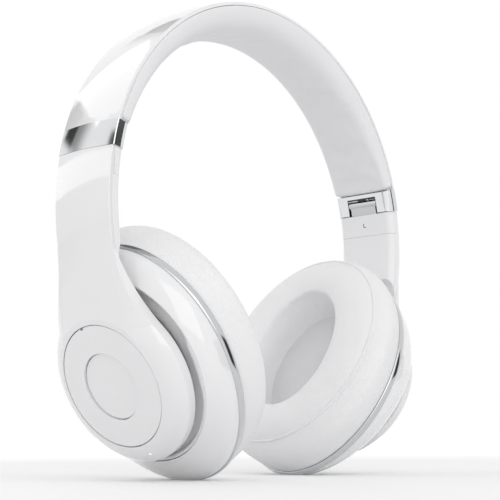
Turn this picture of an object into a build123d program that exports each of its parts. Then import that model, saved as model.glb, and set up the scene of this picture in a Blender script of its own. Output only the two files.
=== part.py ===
"""Folding over-ear headphones.

Everything is in millimetres with +Z up and the wearer facing -Y.  The headphones stand on the
rims of their two cups.  Pieces of the wearer's right side (-X) are built first; the left side is
the same construction mirrored, with its own turn of the cup.
"""
import os
from math import asin
from math import atan2
from math import cos
from math import degrees
from math import hypot
from math import radians
from math import sin
from math import sqrt
from math import tan

from build123d import *

os.makedirs("parts", exist_ok=True)

# ---- driving dimensions -----------------------------------------------------------------------
# The band line is the outer edge of the headband and arms seen from the front: three arcs from
# the top centre outwards, then a straight run into the hub.
CROWN_HEIGHT = 184.0
CROWN_RADIUS = 87.2
CROWN_TURN = 44.0
SHOULDER_RADIUS = 84.0
SHOULDER_TURN = 28.0
ARM_RADIUS = 89.6
ARM_TURN = 27.0

# Section of the band
BAND_HALF_WIDTH = 14.5
BAND_CROWN = 1.2
BAND_DEPTH = 6.0
BAND_ROUNDING = 3.2
BAND_EDGE = 0.35
COVER_DEPTH = 1.2
ARM_HALF_WIDTH = 14.0

# Stations along the band line
HINGE_TOP = 110.1
HINGE_BOTTOM = 119.9
BRACKET_BOTTOM = 130.0
SEAM_GAP = 0.1

# Headband
PAD_CROWN_DEPTH = 11.0
PAD_ROUNDING = 2.6
LINER_HALF_WIDTH = 12.8
LINER_DEPTH = 2.9
SPRING_HALF_WIDTH = 8.0
SPRING_THICKNESS = 0.7
SPRING_END = 102.0

# Hinge
WINDOW_HALF_WIDTH = 7.6
WINDOW_TOP = 111.8
WINDOW_DEPTH = 1.5
PIN_STATION = 115.0
PIN_DEPTH = 4.2
PIN_RADIUS = 0.9
PIN_HALF_LENGTH = 11.0
PIN_PLAY = 0.04
BARREL_RADIUS = 1.75
BARREL_HALF_LENGTH = 7.2
SWEEP_RADIUS = 4.6
TONGUE_HALF_WIDTH = 6.6
TONGUE_OUTER_DEPTH = 4.2
TONGUE_INNER_DEPTH = 5.3
TONGUE_END = 124.5
STOP_THICKNESS = 0.75
STOP_NUB = 0.5
STOP_INNER_DEPTH = 5.8
TANG_HALF_WIDTH = 6.0
TANG_LENGTH = 6.0
TANG_DEPTH = 2.4

# Slide
SLIDE_HEADING = 89.0
SLIDE_COVER_DEPTH = 0.9
SLIDE_GAP = 0.12
BAR_HALF_WIDTH = 6.8
BAR_THICKNESS = 1.4
BAR_MID_DEPTH = 3.3
BAR_MID_STATION = 134.6
BAR_UP = 13.4
BAR_DOWN = 25.0
BAR_PLAY = 0.05
SLOT_ENDPLAY = 0.5
MARK_DEPTH = 0.15
MARK_HEIGHT = 1.9
MARK_STROKE = 0.35
ARM_COVER_DEPTH = 1.5
FLARE_START = 138.0

# Hub: the disc centre, the outward axis leaning down, and the depths behind the disc face
HUB_STATION = 203.05
HUB_SETBACK = 5.6
STAND_HEIGHT = 32.59
STRIP_END = HUB_STATION - 19.0
COVER_END = HUB_STATION + 47.0
OUTSIDE = 8.0
HUB_LEAN = 24.8
HUB_RADIUS = 30.7
DOME_INNER_RADIUS = 22.95
DOME_MID_RADIUS = 27.2
DOME_MID_DEPTH = 1.55
HUB_SEAM_DEPTH = 5.0
HUB_DEPTH = 8.3
HUB_WALL = 1.65
HUB_ARM_CLEARANCE = 40.0
FLARE_RADIUS = 60.0
SHOULDER_FALL_RADIUS = 18.0
LEDGE_RADIUS = 19.0
LEDGE_DEPTH = 2.4
COVER_UNDERSIDE = 3.6
RECESS_RADIUS = 24.0
FLOOR_DEPTH = 6.4
DISC_RADIUS = 22.65
DISC_THICKNESS = 1.3
DISC_DOME = 0.35
DISC_EDGE_BREAK = 0.22
CENTRE_RADIUS = 12.3
CENTRE_GAP = 0.2
CENTRE_RECESS = 0.5
CENTRE_FLOOR = 1.45
CENTRE_DOME = 0.15
BUTTON_TRAVEL = 0.6
FLANGE_RADIUS = 12.9
FLANGE_TOP = 1.95
STEM_RADIUS = 2.5
STEM_PLAY = 0.06
STEM_END = 3.5
ROCKER_LUG_INNER = 14.8
ROCKER_LUG_OUTER = 16.4
PIVOT_DEPTH = 2.5
PIVOT_RADIUS = 0.55
PIVOT_PLAY = 0.04
SWITCH_TOP_DEPTH = 2.6
SWITCH_RADIUS = 1.6
SWITCH_OFFSET = 15.5
PLAY_SWITCH_RADIUS = 2.0
POWER_HALF_WIDTH = 3.4
POWER_LOW = 6.6
POWER_HIGH = 5.25
POWER_GAP = 0.1
POWER_PROUD = 0.25
LENS_RADIUS = 0.5
LENS_SWING = -75.0
LENS_OFFSET = 27.8
LENS_TILT = 30.0
NOTCH_SWING = 104.5
NOTCH_WIDTH = 1.7
NOTCH_REACH = 0.7

# Gimbal between hub and cup
GIMBAL_DEPTH = 10.0
LUG_INNER = 9.2
LUG_OUTER = 12.2
LUG_RADIUS = 2.2
CROSS_HALF = 7.0
CROSS_HALF_THICKNESS = 2.0
CROSS_PIN_RADIUS = 1.2
CROSS_PIN_END = 12.0
CROSS_PIN_PLAY = 0.05
CROSS_HOLE_RADIUS = 2.6

# Cup, measured from the gimbal centre along the cup axis
CUP_LEAN = 3.7
RIGHT_TURN = -1.0
LEFT_TURN = 5.0
CUP_BACK_SHIFT = 1.4
CUP_DROP = 1.6
CUP_HALF_HEIGHT = 46.3
CUP_HALF_WIDTH = 39.5
RING_INNER = 13.2
RING_WIDTH = 2.3
RING_WALL = 2.8
RING_ROUNDING = 0.5
SHELL_INSET = 0.25
SHELL_WALL = 1.7
SHELL_LOW_DEPTH = 5.6
SHELL_LOW_WIDTH = 38.6
SHELL_LOW_HEIGHT = 43.2
SHELL_LOW_BACK = 0.9
SHELL_LOW_RISE = -0.7
SHELL_LOW_LEAN = 0.45
SHELL_HIGH_DEPTH = 2.4
SHELL_HIGH_WIDTH = 37.0
SHELL_HIGH_HEIGHT = 38.9
SHELL_HIGH_BACK = 0.4
SHELL_HIGH_RISE = 0.4
SHELL_HIGH_LEAN = 0.8
LIP_RADIUS = 35.0
LIP_WALL = 0.6
LIP_RISE = 1.2
LIP_DEPTH = 0.1
NECK_RADIUS = 34.3
NECK_START = 0.7
NECK_FLOOR = 4.4
NECK_FLOOR_RADIUS = 28.0
NECK_WALL = 1.2
NECK_HOLE = 15.5
FRAME_RADIUS = 27.0
FRAME_THICKNESS = 1.3
POST_RADIUS = 2.6
POST_OFFSET = 16.2
BAFFLE_THICKNESS = 2.0
SCREW_RADIUS = 1.0
SCREW_HEAD_RADIUS = 1.9
SCREW_HEAD = 0.9
DRIVER_RADIUS = 21.8
DRIVER_HEIGHT = 1.2
MAGNET_RADIUS = 13.0
MAGNET_HEIGHT = 2.2
DIAPHRAGM_RADIUS = 20.4
DIAPHRAGM_THICKNESS = 0.3
BASE_THICKNESS = 1.6
BASE_INSET = 1.8
BASE_HOLE_RADIUS = 20.8
CLOTH_HALF_HEIGHT = 26.8
CLOTH_HALF_WIDTH = 24.5
CLOTH_THICKNESS = 0.4
BOARD_THICKNESS = 1.2
BOARD_WIDTH = 12.5
BOARD_HEIGHT = 12.0
BOARD_LEFT = -10.5
BATTERY_THICKNESS = 2.6
BATTERY_WIDTH = 15.5
BATTERY_TOP = -20.0
BATTERY_LEFT = 3.5
SHELF_MARGIN = 14.4
SOCKET_SWING = -25.0
SOCKET_REACH = 30.0
JACK_RADIUS = 3.0
JACK_BORE_RADIUS = 1.78
JACK_BORE_START = 2.4
USB_HALF_WIDTH = 3.9
USB_HEIGHT = 2.8
USB_WALL = 0.4
USB_POCKET_START = 8.0
SOCKET_GAP = 0.1

# Ear cushion: half sizes at depths measured inwards from the chrome ring
CUSHION_START = 0.1
CUSHION_FLARE_DEPTH = 10.6
CUSHION_FLARE_HEIGHT = 46.8
CUSHION_FLARE_WIDTH = 44.6
CUSHION_SEAM_DEPTH = 15.6
CUSHION_SEAM_HEIGHT = 43.4
CUSHION_SEAM_WIDTH = 40.2
CUSHION_CREST_DEPTH = 18.2
CUSHION_CREST_HEIGHT = 35.5
CUSHION_CREST_WIDTH = 30.5
CUSHION_RISE = 4.4
CUSHION_BACK = 4.8
OPENING_HALF_HEIGHT = 27.0
OPENING_HALF_WIDTH = 20.6
OPENING_DEPTH = 13.4
OPENING_MOUTH_HEIGHT = 30.6
OPENING_MOUTH_WIDTH = 24.6

# The band's middle plane stands this far in front of the middle of the whole
BAND_FORWARD = 3.9

Y_AXIS = Vector(0, 1, 0)
BAND_ARCS = ((CROWN_RADIUS, CROWN_TURN), (SHOULDER_RADIUS, SHOULDER_TURN), (ARM_RADIUS, ARM_TURN))


# ---- the band line ----------------------------------------------------------------------------
def rail(station):
    """Position and heading of the right-hand band line at a distance from the top centre."""
    x = 0.0
    z = CROWN_HEIGHT
    heading = 0.0
    for radius, turn in BAND_ARCS:
        step = min(station, radius * radians(turn))
        swung = heading + step / radius
        x -= radius * (sin(swung) - sin(heading))
        z += radius * (cos(swung) - cos(heading))
        heading = swung
        station -= step
    return x - station * cos(heading), z - station * sin(heading), heading


def at(station, depth=0.0):
    """Point in the middle plane at a station along the band and a depth under its edge line."""
    x, z, heading = rail(station)
    return Vector(x + depth * sin(heading), 0, z - depth * cos(heading))


def joints():
    """Stations where one arc of the band line meets the next."""
    total = 0.0
    found = []
    for radius, turn in BAND_ARCS:
        total += radius * radians(turn)
        found.append(total)
    return found


def spans(start, end):
    """The pieces of a run of the band line that lie on one arc each."""
    marks = [start] + [mark for mark in joints() if start + 1e-6 < mark < end - 1e-6] + [end]
    return list(zip(marks[:-1], marks[1:]))


def rail_edges(start, end, depth):
    """Arcs and straights following the band line at one depth."""
    edges = []
    for first, last in spans(start, end):
        if first >= joints()[-1] - 1e-6:
            edges.append(Edge.make_line(at(first, depth), at(last, depth)))
        else:
            middle = at((first + last) / 2, depth)
            edges.append(Edge.make_three_point_arc(at(first, depth), middle, at(last, depth)))
    return edges


def side_prism(edges, half_width):
    """Solid of one closed outline in the middle plane, given equal width to front and back."""
    face = Face(Wire(edges))
    return extrude(face, amount=half_width, dir=Y_AXIS, both=True)


def layer(start, end, outer, inner, half_width):
    """Flat layer of the band between two stations and two depths."""
    edges = rail_edges(start, end, outer)
    edges += [Edge.make_line(at(end, outer), at(end, inner))]
    edges += rail_edges(start, end, inner)
    edges += [Edge.make_line(at(start, inner), at(start, outer))]
    return side_prism(edges, half_width)


def band_section(half_width, depth, rounding):
    """Crowned outer face, straight sides and a flat inner face with rounded edges."""
    top = ThreePointArc((-half_width, 0), (0, -BAND_CROWN), (half_width, 0))
    right = Line((half_width, 0), (half_width, depth))
    bottom = Line((half_width, depth), (-half_width, depth))
    left = Line((-half_width, depth), (-half_width, 0))
    section = make_face([top.edge(), right.edge(), bottom.edge(), left.edge()])
    corners = section.vertices().sort_by(Axis.Y)
    section = fillet(corners[-2:], rounding)
    corners = section.vertices().sort_by(Axis.Y)
    return fillet([c for c in corners if abs(c.Y) < 1e-6], BAND_EDGE)


def hub_section():
    """Band section carried outwards on both sides with the falling shoulders of the hub."""
    slope = asin(ARM_HALF_WIDTH / crown_radius())
    centre_x = ARM_HALF_WIDTH - SHOULDER_FALL_RADIUS * sin(slope)
    centre_y = SHOULDER_FALL_RADIUS * cos(slope)
    middle = (slope + radians(80)) / 2
    reach = SHOULDER_FALL_RADIUS
    mid = (centre_x + reach * sin(middle), centre_y - reach * cos(middle))
    end = (centre_x + reach * sin(radians(80)), centre_y - reach * cos(radians(80)))
    floor = 30.0
    edges = [ThreePointArc((-ARM_HALF_WIDTH, 0), (0, -BAND_CROWN), (ARM_HALF_WIDTH, 0)).edge()]
    edges.append(ThreePointArc((ARM_HALF_WIDTH, 0), mid, end).edge())
    edges.append(Line(end, (end[0], floor)).edge())
    edges.append(Line((end[0], floor), (-end[0], floor)).edge())
    edges.append(Line((-end[0], floor), (-end[0], end[1])).edge())
    edges.append(ThreePointArc((-end[0], end[1]), (-mid[0], mid[1]), (-ARM_HALF_WIDTH, 0)).edge())
    return make_face(edges)


def crown_radius():
    """Radius of the crowned outer face across the arm."""
    return (ARM_HALF_WIDTH ** 2 + BAND_CROWN ** 2) / (2 * BAND_CROWN)


def section_plane(station):
    """Plane across the band: local x to the back, local y into the band."""
    x, z, heading = rail(station)
    return Plane(origin=(x, 0, z), x_dir=(0, 1, 0), z_dir=(-cos(heading), 0, -sin(heading)))


def swept(section, start, end):
    """Carry a section along the band line."""
    pieces = []
    for first, last in spans(start, end):
        placed = section_plane(first) * section
        if first >= joints()[-1] - 1e-6:
            direction = at(last) - at(first)
            pieces.append(extrude(placed, amount=last - first, dir=direction.normalized()))
            continue
        middle = (first + last) / 2
        radius = [r for (r, t), joint in zip(BAND_ARCS, joints()) if middle < joint][0]
        centre = at(middle, radius)
        angle = degrees((last - first) / radius)
        axis = Axis((centre.X, 0, centre.Z), (0, -1, 0))
        pieces.append(revolve(placed, axis=axis, revolution_arc=angle))
    solid = pieces[0]
    for piece in pieces[1:]:
        solid += piece
    return solid


# ---- frames -----------------------------------------------------------------------------------
LEAN = radians(HUB_LEAN)
HUB_CENTRE = at(HUB_STATION, HUB_SETBACK)
HUB_NORMAL = Vector(-cos(LEAN), 0, -sin(LEAN))
HUB_PLANE = Plane(origin=HUB_CENTRE, x_dir=(0, -1, 0), z_dir=HUB_NORMAL)
HUB = HUB_PLANE.location
# Moves everything so that the origin is under the middle of the whole, on the table
BASE_SHIFT = Pos(0, -BAND_FORWARD, STAND_HEIGHT - HUB_CENTRE.Z)


def gimbal_frame():
    """Frame of the gimbal cross: the hub frame moved in and leant to the cup's rest lean."""
    return HUB * Location((0, 0, -GIMBAL_DEPTH)) * Rotation(CUP_LEAN, 0, 0)


def cup_frame(turn):
    """Frame of the cup: the gimbal frame turned about its up axis."""
    return gimbal_frame() * Rotation(0, turn, 0)


def hub_point(v, w):
    """Point in the middle plane at a height and an outward distance in the hub frame."""
    up = Vector(-sin(LEAN), 0, cos(LEAN))
    return HUB_CENTRE + up * v + HUB_NORMAL * w


def disc(radius, low, high, centre=(0, 0)):
    """Round plate between two heights in a local frame."""
    return Pos(centre[0], centre[1], low) * extrude(Circle(radius), amount=high - low)


def oval(half_width, half_height, low, high, centre=(0, 0)):
    """Oval plate between two heights in a local frame."""
    face = Pos(centre[0], centre[1], low) * Ellipse(half_width, half_height)
    return extrude(face, amount=high - low)


def box(x0, x1, y0, y1, z0, z1):
    """Box between corner values in a local frame."""
    return Pos((x0 + x1) / 2, (y0 + y1) / 2, (z0 + z1) / 2) * Box(x1 - x0, y1 - y0, z1 - z0)


def turned(points_edges):
    """Revolve a closed outline, given in the local XZ plane, about the local Z axis."""
    return revolve(make_face(points_edges), axis=Axis.Z, revolution_arc=360)


def rz(radius, height):
    return (radius, 0, height)


PARTS = {}


def keep(name, solid):
    """Remember one finished piece under its node name."""
    PARTS[name] = solid


def both_sides(name, solid):
    """Remember a piece of the right side and its mirror image on the left."""
    PARTS[name + "_R"] = solid
    PARTS[name + "_L"] = mirror(solid, about=Plane.YZ)


def across(half):
    """A piece of the right half joined to its mirror image."""
    return half + mirror(half, about=Plane.YZ)


# ---- headband ---------------------------------------------------------------------------------
def build_headband():
    """Cover, spring strip, liner and the pad that wraps the liner's sides."""
    body = swept(band_section(BAND_HALF_WIDTH, BAND_DEPTH, BAND_ROUNDING), 0, HINGE_TOP)
    rim = layer(0, HINGE_TOP, -BAND_CROWN - 1, COVER_DEPTH, BAND_HALF_WIDTH + 1)
    keep("headband_cover", across(body & rim))

    spring_inner = COVER_DEPTH + SPRING_THICKNESS
    spring = across(layer(0, SPRING_END, COVER_DEPTH, spring_inner, SPRING_HALF_WIDTH))
    keep("headband_spring", spring)

    liner = across(layer(0, HINGE_TOP, COVER_DEPTH, LINER_DEPTH, LINER_HALF_WIDTH))
    keep("headband_liner", liner - spring - across(hinge_tang()))

    outline = rail_edges(0, HINGE_TOP, COVER_DEPTH)
    outline += [edge.mirror(Plane.YZ) for edge in rail_edges(0, HINGE_TOP, COVER_DEPTH)]
    end = at(HINGE_TOP, BAND_DEPTH)
    far = Vector(-end.X, 0, end.Z)
    start = at(HINGE_TOP, COVER_DEPTH)
    outline.append(Edge.make_line(start, end))
    crown = Vector(0, 0, CROWN_HEIGHT - PAD_CROWN_DEPTH)
    inner = Edge.make_three_point_arc(end, crown, far)
    outline.append(inner)
    outline.append(Edge.make_line(far, Vector(-start.X, 0, start.Z)))
    pad = side_prism(outline, BAND_HALF_WIDTH)
    long_edges = [e for e in pad.edges() if e.length > 150 and abs(abs(e.center().Y)) > 14]
    inner_edges = [e for e in long_edges if e.bounding_box().max.Z < CROWN_HEIGHT - 10]
    pad = fillet(inner_edges, PAD_ROUNDING)
    pocket = across(layer(-0.0, HINGE_TOP + 1, COVER_DEPTH, LINER_DEPTH, LINER_HALF_WIDTH))
    keep("headband_pad", pad - pocket)


# ---- hinge ------------------------------------------------------------------------------------
def pin_line(radius, half_length):
    """Cylinder along the hinge axis."""
    centre = at(PIN_STATION, PIN_DEPTH)
    plane = Plane(origin=centre, x_dir=(1, 0, 0), z_dir=(0, 1, 0))
    return extrude(plane * Circle(radius), amount=half_length, both=True)


def hinge_tang():
    """Tongue on top of the hinge block that is held in the headband liner."""
    return layer(HINGE_TOP - TANG_LENGTH, HINGE_TOP + 0.5, COVER_DEPTH, TANG_DEPTH, TANG_HALF_WIDTH)


def build_hinge():
    """Chrome block with its window, pin, lug, rubber stop, bracket, bar and bracket screws."""
    section = band_section(BAND_HALF_WIDTH, BAND_DEPTH, BAND_ROUNDING)
    block = swept(section, HINGE_TOP, HINGE_BOTTOM)
    window = layer(WINDOW_TOP, HINGE_BOTTOM + 2, WINDOW_DEPTH, BAND_DEPTH + 2, WINDOW_HALF_WIDTH)
    block -= window
    # The lower inner corners are rounded about the pin so that the bracket can swing past them.
    below = layer(PIN_STATION, HINGE_BOTTOM + 2, PIN_DEPTH, BAND_DEPTH + 2, BAND_HALF_WIDTH + 1)
    block -= below - pin_line(SWEEP_RADIUS, BAND_HALF_WIDTH + 2)
    block = block + hinge_tang()
    block -= pin_line(PIN_RADIUS, PIN_HALF_LENGTH)
    both_sides("hinge_block", block)
    keep("hinge_pins", across(pin_line(PIN_RADIUS, PIN_HALF_LENGTH - 0.1)))

    stop_end = WINDOW_TOP + STOP_THICKNESS
    stop = layer(WINDOW_TOP, stop_end, WINDOW_DEPTH, STOP_INNER_DEPTH, WINDOW_HALF_WIDTH - 0.05)
    nub = layer(WINDOW_TOP, stop_end + STOP_NUB, PIN_DEPTH + 0.9, STOP_INNER_DEPTH, 2.2)
    keep("hinge_stops", across(stop + nub))

    lug = pin_line(BARREL_RADIUS, BARREL_HALF_LENGTH)
    lug += layer(PIN_STATION, TONGUE_END, TONGUE_OUTER_DEPTH, TONGUE_INNER_DEPTH, TONGUE_HALF_WIDTH)
    lug += layer(PIN_STATION, HINGE_BOTTOM - 0.4, 2.6, TONGUE_INNER_DEPTH + 0.3, TONGUE_HALF_WIDTH)
    lug -= pin_line(PIN_RADIUS + PIN_PLAY, PIN_HALF_LENGTH)
    return lug


def slide_frame():
    """Frame of the slide: local z down the slide, local x to the back, local y inwards."""
    heading = radians(SLIDE_HEADING)
    direction = (-cos(heading), 0, -sin(heading))
    origin = at(BAR_MID_STATION, BAR_MID_DEPTH)
    return Plane(origin=origin, x_dir=(0, 1, 0), z_dir=direction)


def bar_prism(up, down, play=0.0):
    """The slider bar, or its slot when play is added all round."""
    half = BAR_HALF_WIDTH + play
    solid = box(-half, half, -play, BAR_THICKNESS + play, -up, down)
    return slide_frame().location * solid


def slide_seam(offset):
    """Two points of the sliding seam between arm cover and bracket, offset inwards."""
    heading = radians(SLIDE_HEADING)
    top = at(HINGE_BOTTOM + SEAM_GAP, SLIDE_COVER_DEPTH + offset)
    run = BRACKET_BOTTOM - HINGE_BOTTOM - SEAM_GAP
    return top, top + Vector(-cos(heading) * run, 0, -sin(heading) * run)


def build_bracket(lug):
    """Bracket under the hinge that carries the side letter, its bar and two screws."""
    start = HINGE_BOTTOM + SEAM_GAP
    body = swept(band_section(ARM_HALF_WIDTH, BAND_DEPTH, BAND_ROUNDING), start, BRACKET_BOTTOM)
    top, bottom = slide_seam(SLIDE_GAP)
    over = top - (bottom - top) * 0.3
    under = bottom + (bottom - top) * 0.3
    deep_over = over + (at(start, 12) - at(start, 0))
    deep_under = under + (at(start, 12) - at(start, 0))
    edges = [Edge.make_line(over, under), Edge.make_line(under, deep_under)]
    edges += [Edge.make_line(deep_under, deep_over), Edge.make_line(deep_over, over)]
    bracket = body & side_prism(edges, ARM_HALF_WIDTH + 1)
    bar = bar_prism(BAR_UP, BAR_DOWN)
    bracket = bracket - bar - lug
    screws = None
    for offset in (-4.0, 4.0):
        middle = at(TONGUE_END - 1.7, 0)
        inward = (at(TONGUE_END - 1.7, 1) - middle)
        place = Plane(origin=at(TONGUE_END - 1.7, 3.0) + Y_AXIS * offset, z_dir=inward)
        shank = extrude(place * Circle(0.6), amount=2.4)
        screws = shank if screws is None else screws + shank
    both_sides("slider_bar", bar - screws)
    both_sides("hinge_lug", lug - screws)
    both_sides("bracket_screws", screws)
    bracket -= screws
    keep("bracket_R", bracket - mark_frame() * letter_r())
    keep("bracket_L", mirror(bracket - mark_frame() * mirror(letter_l(), about=Plane.YZ),
                             about=Plane.YZ))


def mark_frame():
    """Frame on the bracket's inner face: local z inwards, local y up, reading upright."""
    station = (HINGE_BOTTOM + BRACKET_BOTTOM) / 2
    face = at(station, BAND_DEPTH)
    inward = face - at(station, BAND_DEPTH - 1)
    return Plane(origin=face - inward * MARK_DEPTH, x_dir=(0, 1, 0), z_dir=inward).location


def letter_l():
    """The letter L as two strokes."""
    stem = Pos(-0.5, 0) * Rectangle(MARK_STROKE, MARK_HEIGHT)
    foot_y = -MARK_HEIGHT / 2 + MARK_STROKE / 2
    foot = Pos(0, foot_y) * Rectangle(1.0 + MARK_STROKE, MARK_STROKE)
    return extrude(stem + foot, amount=1.0)


def letter_r():
    """The letter R as a stem, a bowl and a leg."""
    stem = Pos(-0.5, 0) * Rectangle(MARK_STROKE, MARK_HEIGHT)
    bowl = Pos(0.0, 0.45) * (Circle(0.5) - Circle(0.5 - MARK_STROKE))
    bowl &= Pos(0.5, 0.45) * Rectangle(1.0, 1.2)
    upper = Pos(-0.2, 0.95 - MARK_STROKE / 2) * Rectangle(0.5, MARK_STROKE)
    lower = Pos(-0.2, -0.05 + MARK_STROKE / 2) * Rectangle(0.5, MARK_STROKE)
    leg = Pos(0.18, -0.5) * Rot(0, 0, 30) * Rectangle(MARK_STROKE, 1.1)
    return extrude(stem + bowl + upper + lower + leg, amount=1.0)


# ---- arm and hub ------------------------------------------------------------------------------
def seam_station():
    """Station on the straight run where the arm seam meets the plane of the hub seam."""
    first = HUB_STATION - 43
    last = HUB_STATION - 23
    near = (at(first, ARM_COVER_DEPTH) - HUB_CENTRE).dot(HUB_NORMAL)
    far = (at(last, ARM_COVER_DEPTH) - HUB_CENTRE).dot(HUB_NORMAL)
    return first + (last - first) * (-HUB_SEAM_DEPTH - near) / (far - near)


def cover_side():
    """Everything outside the seam between the arm's outer cover and its inner cover."""
    top, bottom = slide_seam(0.0)
    meet = at(seam_station(), ARM_COVER_DEPTH)
    low = hub_point(-HUB_RADIUS - 3, -HUB_SEAM_DEPTH)
    seam_start = BRACKET_BOTTOM + SEAM_GAP
    outer_low = at(COVER_END, -OUTSIDE)
    edges = [Edge.make_line(top, bottom)]
    edges.append(Edge.make_line(bottom, at(seam_start, ARM_COVER_DEPTH)))
    edges += rail_edges(seam_start, seam_station(), ARM_COVER_DEPTH)
    edges.append(Edge.make_line(meet, low))
    edges.append(Edge.make_line(low, outer_low))
    edges += rail_edges(HINGE_BOTTOM + SEAM_GAP, COVER_END, -OUTSIDE)
    edges.append(Edge.make_line(at(HINGE_BOTTOM + SEAM_GAP, -OUTSIDE), top))
    return side_prism(edges, HUB_RADIUS + OUTSIDE)


def hub_outline():
    """Front outline: the arm's straight sides flare into the hub's circle."""
    reach = ARM_HALF_WIDTH + FLARE_RADIUS
    rise = sqrt((HUB_RADIUS + FLARE_RADIUS) ** 2 - reach ** 2)
    share = HUB_RADIUS / (HUB_RADIUS + FLARE_RADIUS)
    touch = (reach * share, rise * share)
    swing = atan2(touch[1] - rise, touch[0] - reach)
    middle = (swing - radians(180)) / 2 + radians(180) if swing > 0 else (swing - radians(180)) / 2
    mid = (reach + FLARE_RADIUS * cos(middle), rise + FLARE_RADIUS * sin(middle))
    top = rise + 12
    half = ARM_HALF_WIDTH
    right = ThreePointArc((half, rise), mid, touch)
    left = ThreePointArc((-half, rise), (-mid[0], mid[1]), (-touch[0], touch[1]))
    round_end = ThreePointArc(touch, (0, -HUB_RADIUS), (-touch[0], touch[1]))
    lines = [Line((half, top), (half, rise)), Line((-half, top), (-half, rise))]
    lines.append(Line((-half, top), (half, top)))
    return make_face([e.edge() for e in [right, left, round_end] + lines])


def dome():
    """Hub body of revolution: flat centre, domed shoulder and straight side."""
    edges = [Edge.make_line(rz(0, 0), rz(DOME_INNER_RADIUS, 0))]
    mid = rz(DOME_MID_RADIUS, -DOME_MID_DEPTH)
    end = rz(HUB_RADIUS, -HUB_SEAM_DEPTH)
    edges.append(Edge.make_three_point_arc(rz(DOME_INNER_RADIUS, 0), mid, end))
    edges.append(Edge.make_line(end, rz(HUB_RADIUS, -HUB_DEPTH)))
    edges.append(Edge.make_line(rz(HUB_RADIUS, -HUB_DEPTH), rz(0, -HUB_DEPTH)))
    edges.append(Edge.make_line(rz(0, -HUB_DEPTH), rz(0, 0)))
    return HUB * turned(edges)


def arm_body():
    """Solid arm and hub before it is split into outer and inner covers."""
    start = HINGE_BOTTOM + SEAM_GAP
    strip = swept(band_section(ARM_HALF_WIDTH, BAND_DEPTH, BAND_ROUNDING), start, STRIP_END)
    back = -HUB_DEPTH
    clear = HUB_ARM_CLEARANCE
    relief = [Edge.make_line(hub_point(-60, back), hub_point(clear, back))]
    middle = hub_point(clear + 5.6, back - 2.0)
    last = hub_point(clear + 9.6, back - 6.6)
    relief.append(Edge.make_three_point_arc(hub_point(clear, back), middle, last))
    relief.append(Edge.make_line(last, hub_point(clear + 9.6, back - 20)))
    relief.append(Edge.make_line(hub_point(clear + 9.6, back - 20), hub_point(-60, back - 20)))
    relief.append(Edge.make_line(hub_point(-60, back - 20), hub_point(-60, back)))
    strip -= side_prism(relief, HUB_RADIUS + OUTSIDE)
    wide = 2 * HUB_RADIUS
    in_front = HUB * box(-wide, wide, -wide, 3 * HUB_RADIUS, 0, HUB_RADIUS)
    strip -= in_front

    shoulders = swept(hub_section(), FLARE_START, HUB_STATION) - in_front
    outline = HUB * (Pos(0, 0, back) * extrude(hub_outline(), amount=HUB_DEPTH + 2))
    flared = shoulders & outline
    return strip + flared + dome()


def build_arm():
    """Outer cover and inner cover of one arm, with the hub's cavities and gimbal lugs."""
    body = arm_body()
    outside = cover_side()
    cover = body & outside
    cover -= HUB * disc(DOME_INNER_RADIUS, -LEDGE_DEPTH, 5)
    cover -= HUB * disc(LEDGE_RADIUS, -10, 0)
    cover -= HUB * disc(HUB_RADIUS - HUB_WALL, -10, -COVER_UNDERSIDE)
    slot = bar_prism(80, BAR_DOWN + SLOT_ENDPLAY, BAR_PLAY)
    cover -= slot

    liner = body - outside
    below_bracket = layer(HINGE_BOTTOM - 5, BRACKET_BOTTOM + SEAM_GAP, -10, 30, 40)
    liner -= below_bracket
    liner -= slot
    wall = HUB_RADIUS - HUB_WALL
    ring = HUB * (disc(wall, -HUB_DEPTH + 1.4, 0) - disc(RECESS_RADIUS + 1.4, -20, 1))
    liner -= ring
    liner -= HUB * disc(RECESS_RADIUS, -HUB_DEPTH - 8, -FLOOR_DEPTH)
    for sign in (-1, 1):
        liner += gimbal_lug(sign)
    liner -= HUB * disc(3.0, -10, 0)
    both_sides("arm_inner_cover", liner)
    both_sides("arm_outer_cover", cover)


def gimbal_lug(sign):
    """Lug under the hub floor that carries one front-back pin of the gimbal cross."""
    inner = min(sign * LUG_INNER, sign * LUG_OUTER)
    outer = max(sign * LUG_INNER, sign * LUG_OUTER)
    leg = box(inner, outer, -LUG_RADIUS, LUG_RADIUS, -GIMBAL_DEPTH, -FLOOR_DEPTH)
    plane = Plane(origin=(inner, 0, -GIMBAL_DEPTH), x_dir=(0, 1, 0), z_dir=(1, 0, 0))
    end = extrude(plane * Circle(LUG_RADIUS), amount=outer - inner)
    bore = extrude(plane * Circle(CROSS_PIN_RADIUS + CROSS_PIN_PLAY), amount=outer - inner)
    return HUB * (leg + end - bore)


def domed_disc(radius, thickness, rise, base):
    """Round plate with a slightly domed outer face, built up from a base height."""
    edge = base + thickness
    top = edge + rise
    edges = [Edge.make_line(rz(0, base), rz(radius, base))]
    bow = (radius ** 2 + rise ** 2) / (2 * rise)
    half = radius / 2
    mid_height = top - (bow - sqrt(bow ** 2 - half ** 2))
    outer = radius - DISC_EDGE_BREAK
    outer_height = top - (bow - sqrt(bow ** 2 - outer ** 2))
    corner = rz(radius, outer_height - DISC_EDGE_BREAK)
    rim = rz(outer, outer_height)
    edges.append(Edge.make_line(rz(radius, base), corner))
    edges.append(Edge.make_line(corner, rim))
    edges.append(Edge.make_three_point_arc(rim, rz(half, mid_height), rz(0, top)))
    edges.append(Edge.make_line(rz(0, top), rz(0, base)))
    return turned(edges)


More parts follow.
